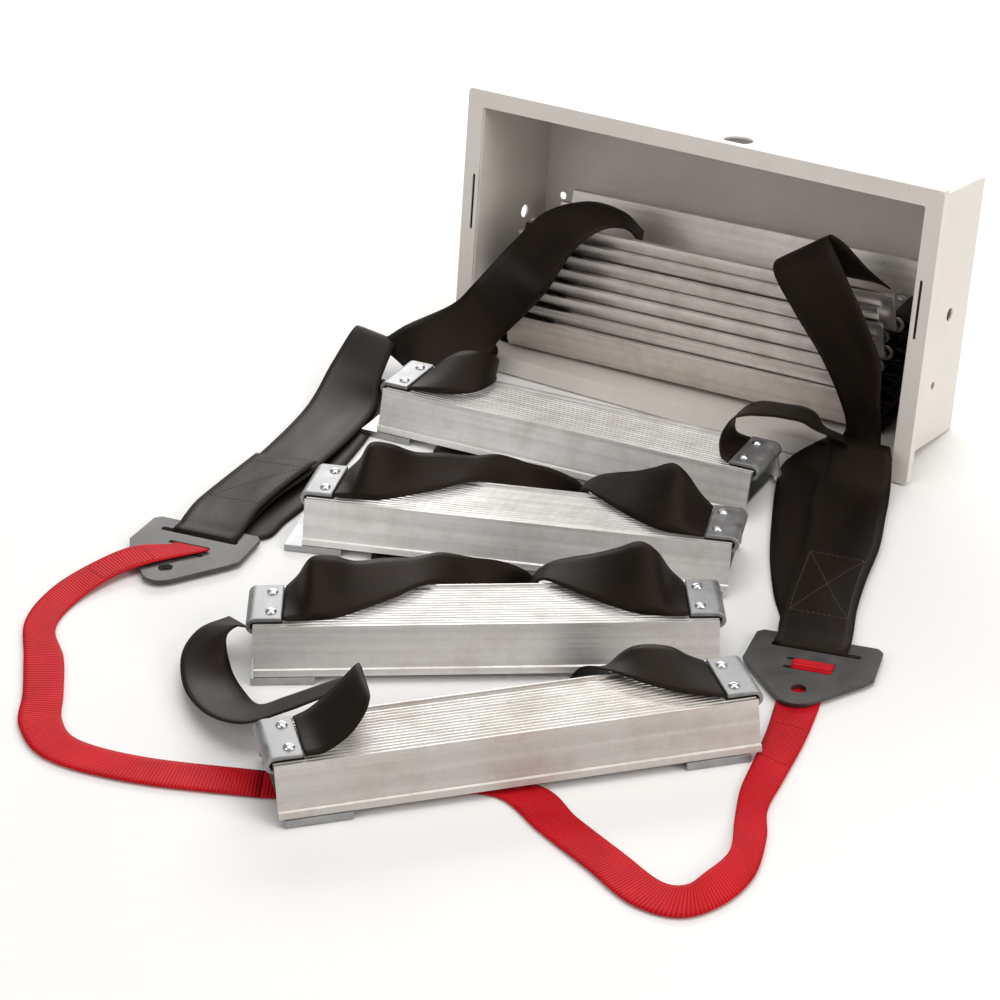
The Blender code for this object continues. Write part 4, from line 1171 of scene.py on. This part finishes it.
# name, place, target, width, height, watts and colour of each softbox
LIGHTS = (
    ("back_softbox", (-1.15, 2.15, 1.15), (0, 0.1, 0), 2.6, 0.9, 52, (1.0, 0.99, 0.98)),
    ("top_softbox", (0.2, 0.1, 2.0), (0, 0, 0), 1.8, 1.8, 22, (1.0, 0.985, 0.96)),
    ("right_softbox", (2.1, -0.1, 1.1), (0.1, 0.1, 0.05), 1.2, 1.2, 20, (1.0, 0.95, 0.88)),
    ("front_fill", (-0.6, -2.2, 1.5), (0, 0, 0.05), 1.6, 1.2, 13, (1.0, 0.97, 0.94)),
)


def build_camera():
    camera = bpy.data.objects.new("camera", bpy.data.cameras.new("camera"))
    camera.location = CAMERA_PLACE
    camera.rotation_euler = [math.radians(angle) for angle in CAMERA_TURN]
    camera.data.lens = CAMERA_LENS
    camera.data.sensor_width = 36.0
    bpy.context.scene.collection.objects.link(camera)
    bpy.context.scene.camera = camera


def add_light(name, location, target, width, height, power, color):
    light = bpy.data.lights.new(name, "AREA")
    light.shape = "RECTANGLE"
    light.size = width
    light.size_y = height
    light.energy = power
    light.color = color
    lamp = bpy.data.objects.new(name, light)
    lamp.location = location
    lamp.rotation_euler = (Vector(target) - Vector(location)).to_track_quat("-Z", "Y").to_euler()
    bpy.context.scene.collection.objects.link(lamp)


def build_studio(material):
    corners = ((-1, -1), (1, -1), (1, 1), (-1, 1))
    vertices = [(x * FLOOR_HALF, y * FLOOR_HALF, FLOOR_LEVEL) for x, y in corners]
    floor = mesh_piece("floor", vertices, [(0, 1, 2, 3)], material)
    world = bpy.data.worlds.new("studio")
    world.use_nodes = True
    background = world.node_tree.nodes["Background"]
    background.inputs["Color"].default_value = (1.0, 0.99, 0.98, 1.0)
    background.inputs["Strength"].default_value = WORLD_STRENGTH
    bpy.context.scene.world = world
    bpy.context.scene.view_settings.view_transform = "Standard"
    for plan in LIGHTS:
        add_light(*plan)


def main():
    build_camera()
    black = black_webbing()
    red = red_webbing()
    dark_thread = thread("dark_thread", (0.10, 0.075, 0.055))
    red_thread = thread("red_thread", (0.42, 0.01, 0.015))
    clip_metal = tumbled_aluminium("clip_aluminium_look")
    rivet_metal = tumbled_aluminium("rivet_aluminium_look", 0.80, 0.27)
    rungs = {"stack": drawn_aluminium("aluminium_stack", STACK_YAW, STACK_SHADE_TINT, 0.34)}
    for name, (_, _, yaw) in FLOOR_RUNGS.items():
        light_shade_tint = FIRST_RUNG_SHADE_TINT if name == "rung_1" else RUNG_LIT_TINT
        rungs[name] = drawn_aluminium("aluminium_" + name, yaw, light_shade_tint, 0.46)
    dress_cad(powder_coat(), rungs, tumbled_aluminium("shoe_aluminium_look", 0.42, 0.45), dark_plate())
    # Near-black look for the slot tabs: painted shade in the flange's slots.
    build_slot_shade_tabs(tumbled_aluminium("slot_shade_look", 0.06, 0.5))
    build_rung_webbing(black)
    build_box_webbing(black)
    build_plate_straps(black, dark_thread)
    build_bridle(red, red_thread)
    build_clips(clip_metal, rivet_metal, black)
    build_stack_clips(clip_metal, rivet_metal)
    build_stack_webbing(black)
    build_studio(floor_material())


main()
